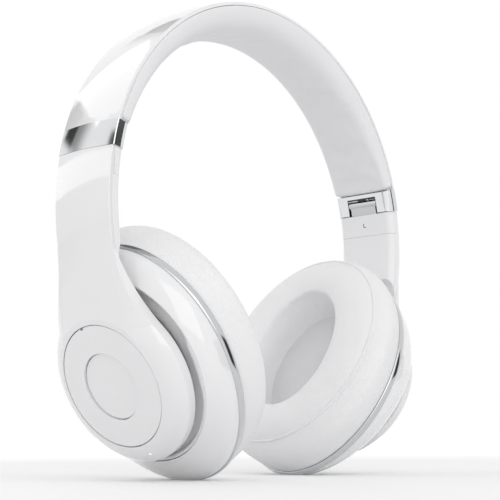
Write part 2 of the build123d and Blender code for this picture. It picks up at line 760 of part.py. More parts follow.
def build_hub_discs():
    """Fixed disc and centre piece on the right; rocking disc and centre button on the left."""
    plate = domed_disc(DISC_RADIUS, DISC_THICKNESS, DISC_DOME, -DISC_THICKNESS)
    half = NOTCH_WIDTH / 2
    notch = box(DISC_RADIUS - NOTCH_REACH, DISC_RADIUS + 1, -half, half, -DISC_THICKNESS, 2)
    plate -= Rotation(0, 0, NOTCH_SWING) * notch
    opening = CENTRE_RADIUS + CENTRE_GAP
    foot = disc(LEDGE_RADIUS + 2.0, -LEDGE_DEPTH, -DISC_THICKNESS)
    keep("hub_disc_R", HUB * (plate + foot - disc(opening, -CENTRE_FLOOR, 5)))
    cap = domed_disc(CENTRE_RADIUS, CENTRE_FLOOR - CENTRE_RECESS, CENTRE_DOME, -CENTRE_FLOOR)
    keep("centre_piece_R", HUB * cap)

    def left(name, solid):
        keep(name, mirror(HUB * solid, about=Plane.YZ))

    floor = -HUB_SEAM_DEPTH
    rocker = plate - disc(opening, -10, 5)
    pivot = None
    for sign in (-1, 1):
        ends = sorted((sign * ROCKER_LUG_INNER, sign * ROCKER_LUG_OUTER))
        rocker += box(ends[0], ends[1], -1.0, 1.0, -PIVOT_DEPTH - 1.0, -DISC_THICKNESS)
        posts = sorted((sign * (ROCKER_LUG_OUTER + 0.15), sign * (ROCKER_LUG_OUTER + 1.6)))
        stand = box(posts[0], posts[1], -1.2, 1.2, floor, -PIVOT_DEPTH + 0.6)
        reach = sorted((sign * ROCKER_LUG_INNER, sign * (ROCKER_LUG_OUTER + 0.5)))
        plane = Plane(origin=(reach[0], 0, -PIVOT_DEPTH), x_dir=(0, 1, 0), z_dir=(1, 0, 0))
        stand += extrude(plane * Circle(PIVOT_RADIUS), amount=reach[1] - reach[0])
        rocker -= extrude(plane * Circle(PIVOT_RADIUS + PIVOT_PLAY), amount=reach[1] - reach[0])
        pivot = stand if pivot is None else pivot + stand
    left("volume_disc", rocker)
    left("volume_pivot", pivot)
    switch = disc(SWITCH_RADIUS, floor, -SWITCH_TOP_DEPTH, (0, SWITCH_OFFSET))
    switch += disc(SWITCH_RADIUS, floor, -SWITCH_TOP_DEPTH, (0, -SWITCH_OFFSET))

    base = -FLANGE_TOP
    button = domed_disc(CENTRE_RADIUS, FLANGE_TOP - CENTRE_RECESS, CENTRE_DOME, base)
    button += disc(FLANGE_RADIUS, base - 0.5, base)
    button += disc(STEM_RADIUS, -STEM_END, base)
    left("play_button", button)
    guide = disc(STEM_RADIUS + 1.4, floor, base - 0.5 - BUTTON_TRAVEL - 0.05)
    guide -= disc(STEM_RADIUS + STEM_PLAY, -10, 0)
    left("play_guide", guide)
    switch += disc(PLAY_SWITCH_RADIUS, floor, -STEM_END - BUTTON_TRAVEL)
    left("button_switches", switch)

    # The power button and the small indicator lens belong to the right hub only.
    hole = power_prism(POWER_GAP)
    PARTS["arm_inner_cover_R"] -= HUB * hole
    button = power_prism(0.0) & disc(HUB_RADIUS + POWER_PROUD, -10, 0)
    button -= disc(HUB_RADIUS - HUB_WALL - 0.4, -10, 0)
    half = POWER_HALF_WIDTH + 0.8
    flange = box(-half, half, -HUB_RADIUS, 0, -POWER_LOW - 0.2, -POWER_HIGH + 0.2)
    flange &= disc(HUB_RADIUS - HUB_WALL, -10, 0) - disc(HUB_RADIUS - HUB_WALL - 0.7, -10, 0)
    keep("power_button_R", HUB * (button + flange))
    lens = Rotation(0, 0, LENS_SWING) * (Pos(LENS_OFFSET, 0, 0) * Rotation(0, LENS_TILT, 0))
    lens = lens * disc(LENS_RADIUS, -4, 3)
    cover = PARTS["arm_outer_cover_R"]
    keep("indicator_lens_R", HUB * lens & cover)
    PARTS["arm_outer_cover_R"] = cover - HUB * lens


def power_prism(gap):
    """Slot-shaped bar through the lower side wall of the hub."""
    half = POWER_HALF_WIDTH + gap
    inside = RECESS_RADIUS - 4
    return box(-half, half, -HUB_RADIUS - 3, -inside, -POWER_LOW - gap, -POWER_HIGH + gap)


# The lip and the neck lie parallel to the hub while the rest of the cup leans.
UPRIGHT = Rotation(-CUP_LEAN, 0, 0)


def shell_wires(inset):
    """Sections of the cup shell from the chrome ring to the lip, pulled in by an inset."""
    ring = Pos(-CUP_BACK_SHIFT, -CUP_DROP, -RING_INNER + RING_WIDTH)
    ring_face = ring * Ellipse(CUP_HALF_WIDTH - SHELL_INSET - inset,
                               CUP_HALF_HEIGHT - SHELL_INSET - inset)
    low_depth = SHELL_LOW_DEPTH + inset * SHELL_LOW_LEAN
    low = Pos(-SHELL_LOW_BACK, SHELL_LOW_RISE, -low_depth)
    low *= Rotation(-CUP_LEAN * SHELL_LOW_LEAN, 0, 0)
    low_face = low * Ellipse(SHELL_LOW_WIDTH - inset, SHELL_LOW_HEIGHT - inset)
    high_depth = SHELL_HIGH_DEPTH + inset * SHELL_HIGH_LEAN
    high = Pos(-SHELL_HIGH_BACK, SHELL_HIGH_RISE, -high_depth)
    high *= Rotation(-CUP_LEAN * SHELL_HIGH_LEAN, 0, 0)
    high_face = high * Ellipse(SHELL_HIGH_WIDTH - inset, SHELL_HIGH_HEIGHT - inset)
    lip = UPRIGHT * Pos(0, LIP_RISE, -LIP_DEPTH)
    lip_face = lip * Circle(LIP_RADIUS - inset)
    return [ring_face, low_face, high_face, lip_face]


def floor_middle(up):
    """Height of the middle of the leaning cup floor at a height up the cup."""
    return -NECK_FLOOR - NECK_WALL - FRAME_THICKNESS / 2 - up * tan(radians(CUP_LEAN))


def build_cup(turn):
    """All pieces of one ear cup in the cup frame, keyed by name."""
    pieces = {}
    outer = loft(shell_wires(0.0))
    inner = loft(shell_wires(SHELL_WALL))
    inner_low = Pos(-CUP_BACK_SHIFT, -CUP_DROP, -RING_INNER) * extrude(
        Ellipse(CUP_HALF_WIDTH - SHELL_INSET - SHELL_WALL,
                CUP_HALF_HEIGHT - SHELL_INSET - SHELL_WALL), amount=RING_WIDTH)
    lip_open = UPRIGHT * disc(LIP_RADIUS - LIP_WALL, -2.5, 4, (0, LIP_RISE))
    shell = outer - inner - inner_low - lip_open
    pieces["cup_shell"] = shell

    centre = (-CUP_BACK_SHIFT, -CUP_DROP)
    ring = oval(CUP_HALF_WIDTH, CUP_HALF_HEIGHT, -RING_INNER, -RING_INNER + RING_WIDTH, centre)
    ring -= oval(CUP_HALF_WIDTH - RING_WALL, CUP_HALF_HEIGHT - RING_WALL, -20, 0, centre)
    outer_rims = ring.edges().sort_by(SortBy.LENGTH)[-2:]
    pieces["chrome_ring"] = fillet(outer_rims, RING_ROUNDING)

    neck_edges = neck_profile()
    neck = UPRIGHT * (Pos(0, LIP_RISE, 0) * turned(neck_edges))
    pieces["neck_cover"] = neck

    floor_top = -NECK_FLOOR - NECK_WALL
    floor = disc(FRAME_RADIUS, floor_top - FRAME_THICKNESS, floor_top, (0, LIP_RISE))
    lugs = None
    for sign in (-1, 1):
        low = min(sign * LUG_INNER, sign * LUG_OUTER)
        high = max(sign * LUG_INNER, sign * LUG_OUTER)
        middle = (low + high) / 2
        leg = box(-LUG_RADIUS, LUG_RADIUS, low, high, floor_middle(middle), 0)
        plane = Plane(origin=(0, low, 0), x_dir=(1, 0, 0), z_dir=(0, 1, 0))
        leg += extrude(plane * Circle(LUG_RADIUS), amount=high - low)
        leg -= extrude(plane * Circle(CROSS_PIN_RADIUS + CROSS_PIN_PLAY), amount=high - low)
        lugs = leg if lugs is None else lugs + leg
    frame = UPRIGHT * floor + lugs
    baffle_top = -RING_INNER + BAFFLE_THICKNESS
    posts = [(sx * POST_OFFSET, sy * POST_OFFSET) for sx in (-1, 1) for sy in (-1, 1)]
    screws = None
    for place in posts:
        frame += disc(POST_RADIUS, baffle_top, floor_middle(place[1]), place)
    for place in posts:
        frame -= disc(SCREW_RADIUS, baffle_top, floor_middle(place[1]) - 0.2, place)
    frame -= disc(3.0, -12, 0)
    pieces["cup_frame"] = frame
    for place in posts:
        shank = disc(SCREW_RADIUS, -RING_INNER, floor_middle(place[1]) - 0.2, place)
        shank += disc(SCREW_HEAD_RADIUS, -RING_INNER, -RING_INNER + SCREW_HEAD, place)
        screws = shank if screws is None else screws + shank
    pieces["baffle_screws"] = screws

    baffle = oval(CUP_HALF_WIDTH - RING_WALL, CUP_HALF_HEIGHT - RING_WALL, -RING_INNER,
                  baffle_top, centre)
    baffle -= disc(MAGNET_RADIUS + 0.1, -20, 0)
    pieces["baffle_plate"] = baffle - screws

    magnet_low = -RING_INNER - DRIVER_HEIGHT + 0.6
    pieces["driver_magnet"] = disc(MAGNET_RADIUS, magnet_low, magnet_low + MAGNET_HEIGHT + 0.6)
    driver = disc(DRIVER_RADIUS, -RING_INNER - DRIVER_HEIGHT, -RING_INNER)
    driver -= disc(DIAPHRAGM_RADIUS - 0.8, -20, 0)
    bridge = disc(DIAPHRAGM_RADIUS, -RING_INNER - 0.6, -RING_INNER) - disc(MAGNET_RADIUS, -20, 0)
    pieces["driver_frame"] = driver + bridge
    low = -RING_INNER - DRIVER_HEIGHT
    pieces["diaphragm"] = disc(DIAPHRAGM_RADIUS, low - DIAPHRAGM_THICKNESS, low)

    base_low = -RING_INNER - BASE_THICKNESS
    base = oval(CUP_HALF_WIDTH - BASE_INSET, CUP_HALF_HEIGHT - BASE_INSET, base_low,
                -RING_INNER, centre)
    base -= disc(DRIVER_RADIUS + 0.05, -20, 0)
    pieces["cushion_base"] = base
    cloth = oval(CLOTH_HALF_WIDTH, CLOTH_HALF_HEIGHT, base_low - CLOTH_THICKNESS, base_low, centre)
    pieces["driver_cloth"] = cloth
    pieces["ear_cushion"] = cushion()
    left = BOARD_LEFT
    low = shelf_low() + 1.5
    pieces["circuit_board"] = box(left, left + BOARD_WIDTH, low, low + BOARD_HEIGHT,
                                  baffle_top, baffle_top + BOARD_THICKNESS)
    return {name: cup_frame(turn) * solid for name, solid in pieces.items()}


def shelf_low():
    """Lowest place on the baffle where the battery and the board still clear the shell."""
    return -CUP_DROP - CUP_HALF_HEIGHT + SHELF_MARGIN


def neck_profile():
    """Outline of the grey neck: a shallow dish from under the lip to a hole at the gimbal."""
    bottom = -NECK_FLOOR
    under = bottom - NECK_WALL
    start = rz(NECK_RADIUS, -NECK_START)
    floor_start = rz(NECK_FLOOR_RADIUS, bottom)
    dish = Edge.make_three_point_arc(start, rz(NECK_RADIUS - 1.6, -3.3), floor_start)
    edges = [dish, Edge.make_line(floor_start, rz(NECK_HOLE, bottom))]
    edges.append(Edge.make_line(rz(NECK_HOLE, bottom), rz(NECK_HOLE, under)))
    edges.append(Edge.make_line(rz(NECK_HOLE, under), rz(NECK_RADIUS - 2.0, under)))
    edges.append(Edge.make_line(rz(NECK_RADIUS - 2.0, under), rz(NECK_RADIUS, under + 2.0)))
    edges.append(Edge.make_line(rz(NECK_RADIUS, under + 2.0), start))
    return edges


def cushion_section(half_width, half_height, depth, share):
    """Oval section of the cushion, moved back and up by a share of the full offset."""
    x = -CUP_BACK_SHIFT - CUSHION_BACK * share
    y = -CUP_DROP + CUSHION_RISE * share
    return Pos(x, y, -RING_INNER - depth) * Ellipse(half_width, half_height)


def cushion():
    """Ear cushion: a flared barrel with a rounded front and an oval opening."""
    barrel = loft([
        cushion_section(CUP_HALF_WIDTH - 0.4, CUP_HALF_HEIGHT - 0.4, CUSHION_START, 0.0),
        cushion_section(CUSHION_FLARE_WIDTH, CUSHION_FLARE_HEIGHT, CUSHION_FLARE_DEPTH, 0.4),
        cushion_section(CUSHION_SEAM_WIDTH, CUSHION_SEAM_HEIGHT, CUSHION_SEAM_DEPTH, 0.8),
    ])
    front = loft([
        cushion_section(CUSHION_SEAM_WIDTH, CUSHION_SEAM_HEIGHT, CUSHION_SEAM_DEPTH, 0.8),
        cushion_section(CUSHION_SEAM_WIDTH - 2.2, CUSHION_SEAM_HEIGHT - 2.2,
                        CUSHION_SEAM_DEPTH + 1.9, 0.9),
        cushion_section(CUSHION_CREST_WIDTH, CUSHION_CREST_HEIGHT, CUSHION_CREST_DEPTH, 1.0),
    ])
    opening = loft([
        cushion_section(CLOTH_HALF_WIDTH + 0.6, CLOTH_HALF_HEIGHT + 0.5, 1.0, 0.0),
        cushion_section(CLOTH_HALF_WIDTH - 1.0, CLOTH_HALF_HEIGHT + 0.2, 7.0, 0.4),
        cushion_section(OPENING_HALF_WIDTH, OPENING_HALF_HEIGHT, OPENING_DEPTH, 0.9),
    ])
    mouth = loft([
        cushion_section(OPENING_HALF_WIDTH, OPENING_HALF_HEIGHT, OPENING_DEPTH, 0.9),
        cushion_section(OPENING_MOUTH_WIDTH, OPENING_MOUTH_HEIGHT, CUSHION_CREST_DEPTH + 0.5, 1.0),
    ])
    pocket = oval(CUP_HALF_WIDTH - BASE_INSET + 0.05, CUP_HALF_HEIGHT - BASE_INSET + 0.05,
                  -RING_INNER - BASE_THICKNESS, 0, (-CUP_BACK_SHIFT, -CUP_DROP))
    return barrel + front - opening - mouth - pocket


def build_gimbal():
    """Gimbal cross with two pins across and two pins upright."""
    half = CROSS_HALF
    thick = CROSS_HALF_THICKNESS
    cross = box(-half, half, -half, half, -thick, thick)
    cross = fillet(cross.edges().filter_by(Axis.Z), 2.0)
    for direction in ((1, 0, 0), (0, 1, 0)):
        plane = Plane(origin=(0, 0, 0), z_dir=direction)
        cross += extrude(plane * Circle(CROSS_PIN_RADIUS), amount=CROSS_PIN_END, both=True)
    cross -= disc(CROSS_HOLE_RADIUS, -10, 10)
    both_sides("gimbal_cross", gimbal_frame() * cross)


def socket_place():
    """Frame on the cup's lower rim, turned to the back: local z along the plug's way in."""
    floor = -RING_INNER + BAFFLE_THICKNESS
    base = Pos(-CUP_BACK_SHIFT, -CUP_DROP, floor) * Rotation(0, 0, SOCKET_SWING)
    return base * Pos(0, -SOCKET_REACH, 0) * Rotation(90, 0, 0)


def audio_socket(outer):
    """Round 3.5 mm socket, its sleeve and the opening it needs in the shell."""
    tube = socket_place() * (Pos(0, JACK_RADIUS, 0) * extrude(Circle(JACK_RADIUS), amount=20))
    tube &= outer
    wide = socket_place() * (Pos(0, JACK_RADIUS, 0) * extrude(
        Circle(JACK_RADIUS + SOCKET_GAP), amount=20))
    bore = socket_place() * (Pos(0, JACK_RADIUS, JACK_BORE_START) * extrude(
        Circle(JACK_BORE_RADIUS), amount=20))
    return tube - bore, wide


def usb_socket(outer):
    """Flat charging socket with a metal wall and a tongue, and its opening in the shell."""
    half = USB_HALF_WIDTH
    block = socket_place() * box(-half, half, 0, USB_HEIGHT, 0, 20)
    block &= outer
    gap = SOCKET_GAP
    wide = socket_place() * box(-half - gap, half + gap, 0, USB_HEIGHT + gap, 0, 20)
    mouth = USB_POCKET_START
    inside = half - USB_WALL
    hollow = box(-inside, inside, USB_WALL, USB_HEIGHT - USB_WALL, mouth, 20)
    tongue = box(-inside + 0.8, inside - 0.8, 1.2, 1.6, 0, mouth + 4.2)
    return block - socket_place() * (hollow - tongue), wide


def build_cups():
    """Both cups with the pieces that only one of them has."""
    outer = loft(shell_wires(0.0))
    right = build_cup(RIGHT_TURN)
    left = build_cup(LEFT_TURN)
    usb, usb_gap = usb_socket(outer)
    jack, jack_gap = audio_socket(outer)
    turn_right = cup_frame(RIGHT_TURN)
    turn_left = cup_frame(LEFT_TURN)
    right["cup_shell"] -= turn_right * usb_gap
    left["cup_shell"] -= turn_left * jack_gap
    right["usb_socket"] = turn_right * usb
    left["audio_socket"] = turn_left * jack
    floor = -RING_INNER + BAFFLE_THICKNESS
    low = shelf_low()
    left_edge = BATTERY_LEFT
    battery = box(left_edge, left_edge + BATTERY_WIDTH, low, BATTERY_TOP,
                  floor, floor + BATTERY_THICKNESS)
    right["battery"] = turn_right * battery
    for name, solid in right.items():
        keep(name + "_R", solid)
    for name, solid in left.items():
        keep(name + "_L", mirror(solid, about=Plane.YZ))


def write_parts():
    """Write every piece as its own STEP file."""
    for name, solid in PARTS.items():
        export_step(BASE_SHIFT * solid, "parts/" + name + ".step")


build_headband()
build_bracket(build_hinge())
build_arm()
build_hub_discs()
build_gimbal()
build_cups()
write_parts()
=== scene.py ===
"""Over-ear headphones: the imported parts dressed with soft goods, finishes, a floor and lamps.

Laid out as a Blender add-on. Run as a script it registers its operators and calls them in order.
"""

from math import radians

import bpy
import numpy as np
from bpy.props import FloatProperty, FloatVectorProperty, IntProperty, PointerProperty
from mathutils import Matrix, Quaternion, Vector


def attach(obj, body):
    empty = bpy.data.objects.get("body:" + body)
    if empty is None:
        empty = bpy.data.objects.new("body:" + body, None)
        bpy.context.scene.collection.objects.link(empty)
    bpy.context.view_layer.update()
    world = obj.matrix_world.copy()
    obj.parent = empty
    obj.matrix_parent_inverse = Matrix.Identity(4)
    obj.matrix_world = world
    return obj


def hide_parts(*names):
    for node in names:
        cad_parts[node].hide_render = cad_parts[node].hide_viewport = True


bl_info = {
    "name": "Over-ear headphones",
    "version": (1, 0, 0),
    "blender": (4, 5, 0),
    "location": "View3D > Sidebar > Headphones",
    "description": "Soft goods, finishes and a small stage for folding over-ear headphones",
    "category": "Object",
}

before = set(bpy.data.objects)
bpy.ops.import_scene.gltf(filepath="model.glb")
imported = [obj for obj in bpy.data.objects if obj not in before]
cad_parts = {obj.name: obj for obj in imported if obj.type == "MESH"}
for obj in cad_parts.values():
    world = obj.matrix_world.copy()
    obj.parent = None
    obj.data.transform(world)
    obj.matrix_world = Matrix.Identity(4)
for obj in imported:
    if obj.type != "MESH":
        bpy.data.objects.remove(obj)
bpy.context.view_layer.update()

# ---- lines and axes of the object, in millimetres ----
# The band line seen from the front: arcs of (radius, turn in degrees) from the top centre out.
CROWN_HEIGHT = 184.0
BAND_ARCS = ((87.2, 44.0), (84.0, 28.0), (89.6, 27.0))
PAD_END = 110.05
COVER_DEPTH = 1.2
BAND_HALF_WIDTH = 14.5
HUB_STATION = 203.05
HUB_SETBACK = 5.6
HUB_LEAN = 24.8
GIMBAL_DEPTH = 10.0
LIP_RADIUS = 35.0
LIP_RISE = 1.2
CUP_LEAN = 3.7
CUP_TURN = {"R": -1.0, "L": 5.0}
RING_INNER = 13.2
CUP_BACK_SHIFT = 1.4
CUP_DROP = 1.6
BAND_FORWARD = 3.9
STAND_HEIGHT = 32.59


def rail(station):
    """Band line: each arc adds its own chord, and past the last arc the line runs straight."""
    left = np.asarray(station, float).copy()
    x = np.zeros_like(left)
    z = np.full_like(left, CROWN_HEIGHT)
    heading = np.zeros_like(left)
    for radius, turn in BAND_ARCS:
        step = np.clip(left, 0, radius * radians(turn))
        swung = heading + step / radius
        x -= radius * (np.sin(swung) - np.sin(heading))
        z += radius * (np.cos(swung) - np.cos(heading))
        heading = swung
        left -= step
    return x - left * np.cos(heading), z - left * np.sin(heading), heading


def band_points(run, across, depth):
    """Places on the band in metres: run is the signed distance from the top centre (right side
    negative), across goes to the back, depth goes under the band line at right angles to it."""
    run, across, depth = np.broadcast_arrays(run, across, depth)
    x, z, heading = rail(np.abs(run))
    x = x + depth * np.sin(heading)
    z = z - depth * np.cos(heading)
    x = np.where(run > 0, -x, x)
    return seat(np.stack([x, across + 0.0, z], -1))


def seat(points):
    """From the band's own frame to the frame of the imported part, in metres."""
    return (points + np.array([0.0, -BAND_FORWARD, STAND_HEIGHT - HUB_CENTRE[2]])) * 0.001


def hub_frame():
    """Middle of the right hub's disc and its axes: front, up along the hub, outwards."""
    x, z, heading = rail(HUB_STATION)
    centre = np.array([x + HUB_SETBACK * np.sin(heading), 0, z - HUB_SETBACK * np.cos(heading)])
    lean = radians(HUB_LEAN)
    axes = np.array([[0, -1, 0],
                     [-np.sin(lean), 0, np.cos(lean)],
                     [-np.cos(lean), 0, -np.sin(lean)]])
    return centre, axes


HUB_CENTRE, HUB_AXES = hub_frame()


def cup_points(side, front, up, outward):
    """Places on a cup in metres. The cup's frame is the hub's, moved in to the gimbal, leant by
    the cup's lean about the front axis and turned about its own up axis; left is mirrored."""
    lean = radians(HUB_LEAN + CUP_LEAN)
    turn = radians(CUP_TURN[side])
    middle = HUB_CENTRE - HUB_AXES[2] * GIMBAL_DEPTH
    rise = np.array([-np.sin(lean), 0, np.cos(lean)])
    axis = np.array([-np.cos(lean), 0, -np.sin(lean)])
    ahead = np.array([0, -1.0, 0])
    out = axis * np.cos(turn) + ahead * np.sin(turn)
    fore = ahead * np.cos(turn) - axis * np.sin(turn)
    front, up, outward = np.broadcast_arrays(front, up, outward)
    points = middle + front[..., None] * fore + up[..., None] * rise + outward[..., None] * out
    if side == "L":
        points = points * np.array([-1.0, 1.0, 1.0])
    return seat(points)


def upright_points(side, front, up, outward):
    """Places given parallel to the hub instead of to the leaning cup, in metres."""
    lean = -radians(CUP_LEAN)
    raised = up * np.cos(lean) - outward * np.sin(lean)
    return cup_points(side, front, raised, up * np.sin(lean) + outward * np.cos(lean))


# ---- meshes ----
def skin(name, points, wrap_rows=True, wrap_columns=True, caps=False, uv=None):
    """Mesh of a grid of places: neighbours in rows and columns are joined by four-sided faces,
    the grid closes on itself where told, and the volume's sign sets which way faces point."""
    rows, columns = points.shape[:2]
    index = np.arange(rows * columns).reshape(rows, columns)
    right = np.roll(index, -1, 1)
    below = np.roll(index, -1, 0)
    cross = np.roll(below, -1, 1)
    faces = np.stack([index, right, cross, below], -1)
    cells = [np.arange(rows), np.arange(columns)]
    if not wrap_rows:
        faces, cells[0] = faces[:-1], cells[0][:-1]
    if not wrap_columns:
        faces, cells[1] = faces[:, :-1], cells[1][:-1]
    quads = faces.reshape(-1, 4)
    flat = points.reshape(-1, 3)
    polygons = quads.tolist()
    if caps:
        polygons.append(index[0].tolist()[::-1])
        polygons.append(index[-1].tolist())
    middle = flat.mean(0)
    a, b, c, d = (flat[quads[:, k]] - middle for k in range(4))
    volume = np.einsum("ij,ij->", a, np.cross(b, c)) + np.einsum("ij,ij->", a, np.cross(c, d))
    if volume < 0:
        polygons = [face[::-1] for face in polygons]
    mesh = bpy.data.meshes.new(name)
    mesh.from_pydata(flat.tolist(), [], polygons)
    if uv is not None:
        layer = mesh.uv_layers.new(name="surface")
        corners = np.zeros(len(mesh.loops), np.int64)
        mesh.loops.foreach_get("vertex_index", corners)
        layer.data.foreach_set("uv", uv.reshape(-1, 2)[corners].ravel())
    mesh.polygons.foreach_set("use_smooth", np.ones(len(mesh.polygons), bool))
    mesh.update()
    piece = bpy.data.objects.new(name, mesh)
    bpy.context.scene.collection.objects.link(piece)
    return piece


def around(count):
    """Angles of a full turn in equal steps."""
    return np.linspace(0, 2 * np.pi, count, endpoint=False)


def tube(name, path, radius, sides=10):
    """Round cord round a closed path: each place gets a circle across the path's direction."""
    ahead = np.roll(path, -1, 0) - np.roll(path, 1, 0)
    ahead /= np.linalg.norm(ahead, axis=1)[:, None]
    centre = path.mean(0)
    plane = np.linalg.svd(path - centre)[2][2]
    side = np.cross(ahead, plane)
    side /= np.linalg.norm(side, axis=1)[:, None]
    up = np.cross(side, ahead)
    angle = around(sides)
    turn = angle[None, :, None]
    ring = side[:, None] * np.cos(turn) + up[:, None] * np.sin(turn)
    return skin(name, path[:, None] + ring * radius)


def smooth_rows(controls, share):
    """Smooth curve through control rows at shares 0 to 1, by cubic pieces whose slope at each
    row is half the difference of its neighbours."""
    controls = np.asarray(controls, float)
    count = len(controls) - 1
    place = np.clip(np.asarray(share) * count, 0, count - 1e-9)
    k = place.astype(int)
    t = (place - k)[:, None]
    padded = np.vstack([2 * controls[0] - controls[1], controls, 2 * controls[-1] - controls[-2]])
    p0, p1, p2, p3 = (padded[k + i] for i in range(4))
    return 0.5 * (2 * p1 + (p2 - p0) * t + (2 * p0 - 5 * p1 + 4 * p2 - p3) * t ** 2
                  + (3 * p1 - p0 - 3 * p2 + p3) * t ** 3)


# Cloth solver: frames, steps in each, mass of a vertex, stiffness and bending
PUFF_FRAMES = 20
PUFF_QUALITY = 6
PUFF_MASS = 0.0002
PUFF_STIFFNESS = 14
PUFF_BENDING = 0.6


def puff(piece, hold, pressure, cap):
    """Cloth simulation of a stuffed skin: air pressure swells it for a number of frames while
    the held places stay, no place moves further than the cap, and the result becomes the mesh."""
    group = piece.vertex_groups.new(name="held")
    for weight in np.unique(np.round(hold, 2)):
        members = np.nonzero(np.round(hold, 2) == weight)[0].tolist()
        if weight > 0:
            group.add(members, float(weight), "REPLACE")
    before = np.zeros(len(piece.data.vertices) * 3)
    piece.data.vertices.foreach_get("co", before)
    cloth = piece.modifiers.new("Cloth", "CLOTH")
    settings = cloth.settings
    settings.quality = PUFF_QUALITY
    settings.mass = PUFF_MASS
    settings.tension_stiffness = PUFF_STIFFNESS
    settings.compression_stiffness = PUFF_STIFFNESS
    settings.shear_stiffness = PUFF_STIFFNESS * 0.5
    settings.bending_stiffness = PUFF_BENDING
    settings.use_pressure = True
    settings.uniform_pressure_force = pressure
    settings.effector_weights.gravity = 0
    settings.vertex_group_mass = "held"
    settings.pin_stiffness = 1.0
    cloth.collision_settings.use_collision = False
    scene = bpy.context.scene
    cloth.point_cache.frame_start = 1
    cloth.point_cache.frame_end = PUFF_FRAMES
    for number in range(1, PUFF_FRAMES + 1):
        scene.frame_set(number)
    after = np.zeros_like(before)
    evaluated = piece.evaluated_get(bpy.context.evaluated_depsgraph_get())
    evaluated.data.vertices.foreach_get("co", after)
    move = (after - before).reshape(-1, 3)
    size = np.linalg.norm(move, axis=1)
    moved = (size.max() * 1e3, size.mean() * 1e3)
    print("puffed", piece.name, "most %.2f mm, mean %.2f mm" % moved)
    move *= np.minimum(1, cap / np.maximum(size, 1e-9))[:, None]
    piece.modifiers.remove(cloth)
    piece.vertex_groups.remove(group)
    piece.data.vertices.foreach_set("co", before + move.ravel())
    piece.data.update()
    scene.frame_set(1)


def refine(piece, levels):
    """Subdivision Surface, the same in the view as in the render."""
    modifier = piece.modifiers.new("Subdivision", "SUBSURF")
    modifier.levels = levels
    modifier.render_levels = levels


# ---- shader node groups ----
def new_group(name, inputs, outputs):
    """Shader node group with float inputs of (name, default) and named float outputs."""
    group = bpy.data.node_groups.new(name, "ShaderNodeTree")
    for label, default in inputs:
        socket = group.interface.new_socket(name=label, in_out="INPUT",
                                            socket_type="NodeSocketFloat")
        socket.default_value = default
    for label in outputs:
        group.interface.new_socket(name=label, in_out="OUTPUT", socket_type="NodeSocketFloat")
    start = group.nodes.new("NodeGroupInput")
    end = group.nodes.new("NodeGroupOutput")
    return group, start, end


def add(tree, kind, **values):
    """New shader node of a kind with its properties set."""
    node = tree.nodes.new("ShaderNode" + kind)
    for key, value in values.items():
        setattr(node, key, value)
    return node


def link(tree, source, target):
    """Join an output to an input."""
    tree.links.new(source, target)


def feed(tree, value, target):
    """Set an input to a number, or join it to a socket."""
    if isinstance(value, (int, float)):
        target.default_value = value
    else:
        link(tree, value, target)


def maths(tree, operation, *values):
    """Math node on sockets or numbers; returns its output."""
    node = add(tree, "Math", operation=operation)
    for slot, value in enumerate(values):
        feed(tree, value, node.inputs[slot])
    return node.outputs[0]


def noise(tree, place, scale, detail=3.0, roughness=0.5):
    """Noise texture at a place, whose settings are sockets or numbers; returns its value."""
    node = add(tree, "TexNoise")
    link(tree, place, node.inputs["Vector"])
    for label, value in (("Scale", scale), ("Detail", detail), ("Roughness", roughness)):
        feed(tree, value, node.inputs[label])
    return node.outputs[0]


def object_place(tree):
    """Object coordinates of the piece."""
    return add(tree, "TexCoord").outputs["Object"]


def build_variation():
    """Slow cloudy mask: a noise, stretched and clamped, times the span from Low to High, plus
    Low."""
    group, start, end = new_group("cloudy_variation", (("Scale", 60.0), ("Low", 0.0),
                                                       ("High", 1.0)), ("Value",))
    cloud = noise(group, object_place(group), start.outputs["Scale"], 4.0)
    span = maths(group, "SUBTRACT", start.outputs["High"], start.outputs["Low"])
    spread = maths(group, "MULTIPLY_ADD", cloud, 1.8, -0.4)
    node = add(group, "Clamp")
    link(group, spread, node.inputs[0])
    value = maths(group, "MULTIPLY_ADD", node.outputs[0], span, start.outputs["Low"])
    link(group, value, end.inputs["Value"])
    return group


def build_leather():
    """Leather grain: the soft sides of cells, warped a little by a noise, plus 0.7 of a swell."""
    group, start, end = new_group("leather_grain", (("Cells", 900.0), ("Swell", 140.0)),
                                  ("Height",))
    place = object_place(group)
    warp = noise(group, place, 320.0, 2.0)
    mix = add(group, "VectorMath", operation="SCALE")
    link(group, place, mix.inputs[0])
    shift = maths(group, "MULTIPLY_ADD", warp, 0.012, 0.994)
    link(group, shift, mix.inputs["Scale"])
    cells = add(group, "TexVoronoi", feature="DISTANCE_TO_EDGE")
    link(group, mix.outputs[0], cells.inputs["Vector"])
    link(group, start.outputs["Cells"], cells.inputs["Scale"])
    edge = add(group, "MapRange", interpolation_type="SMOOTHSTEP")
    link(group, cells.outputs["Distance"], edge.inputs["Value"])
    edge.inputs["From Max"].default_value = 0.22
    swell = noise(group, place, start.outputs["Swell"], 3.0)
    height = maths(group, "MULTIPLY_ADD", swell, 0.7, edge.outputs["Result"])
    link(group, height, end.inputs["Height"])
    return group


def build_weave():
    """Knitted mesh cloth: the higher of two waves across each other on the piece's own map."""
    group, start, end = new_group("mesh_weave", (("Threads", 90.0),), ("Height",))
    place = add(group, "UVMap", uv_map="surface").outputs[0]
    heights = []
    for direction in ("X", "Y"):
        wave = add(group, "TexWave", wave_type="BANDS", bands_direction=direction)
        link(group, place, wave.inputs["Vector"])
        link(group, start.outputs["Threads"], wave.inputs["Scale"])
        wave.inputs["Distortion"].default_value = 0.3
        heights.append(wave.outputs["Fac"])
    height = maths(group, "MAXIMUM", *heights)
    link(group, height, end.inputs["Height"])
    return group


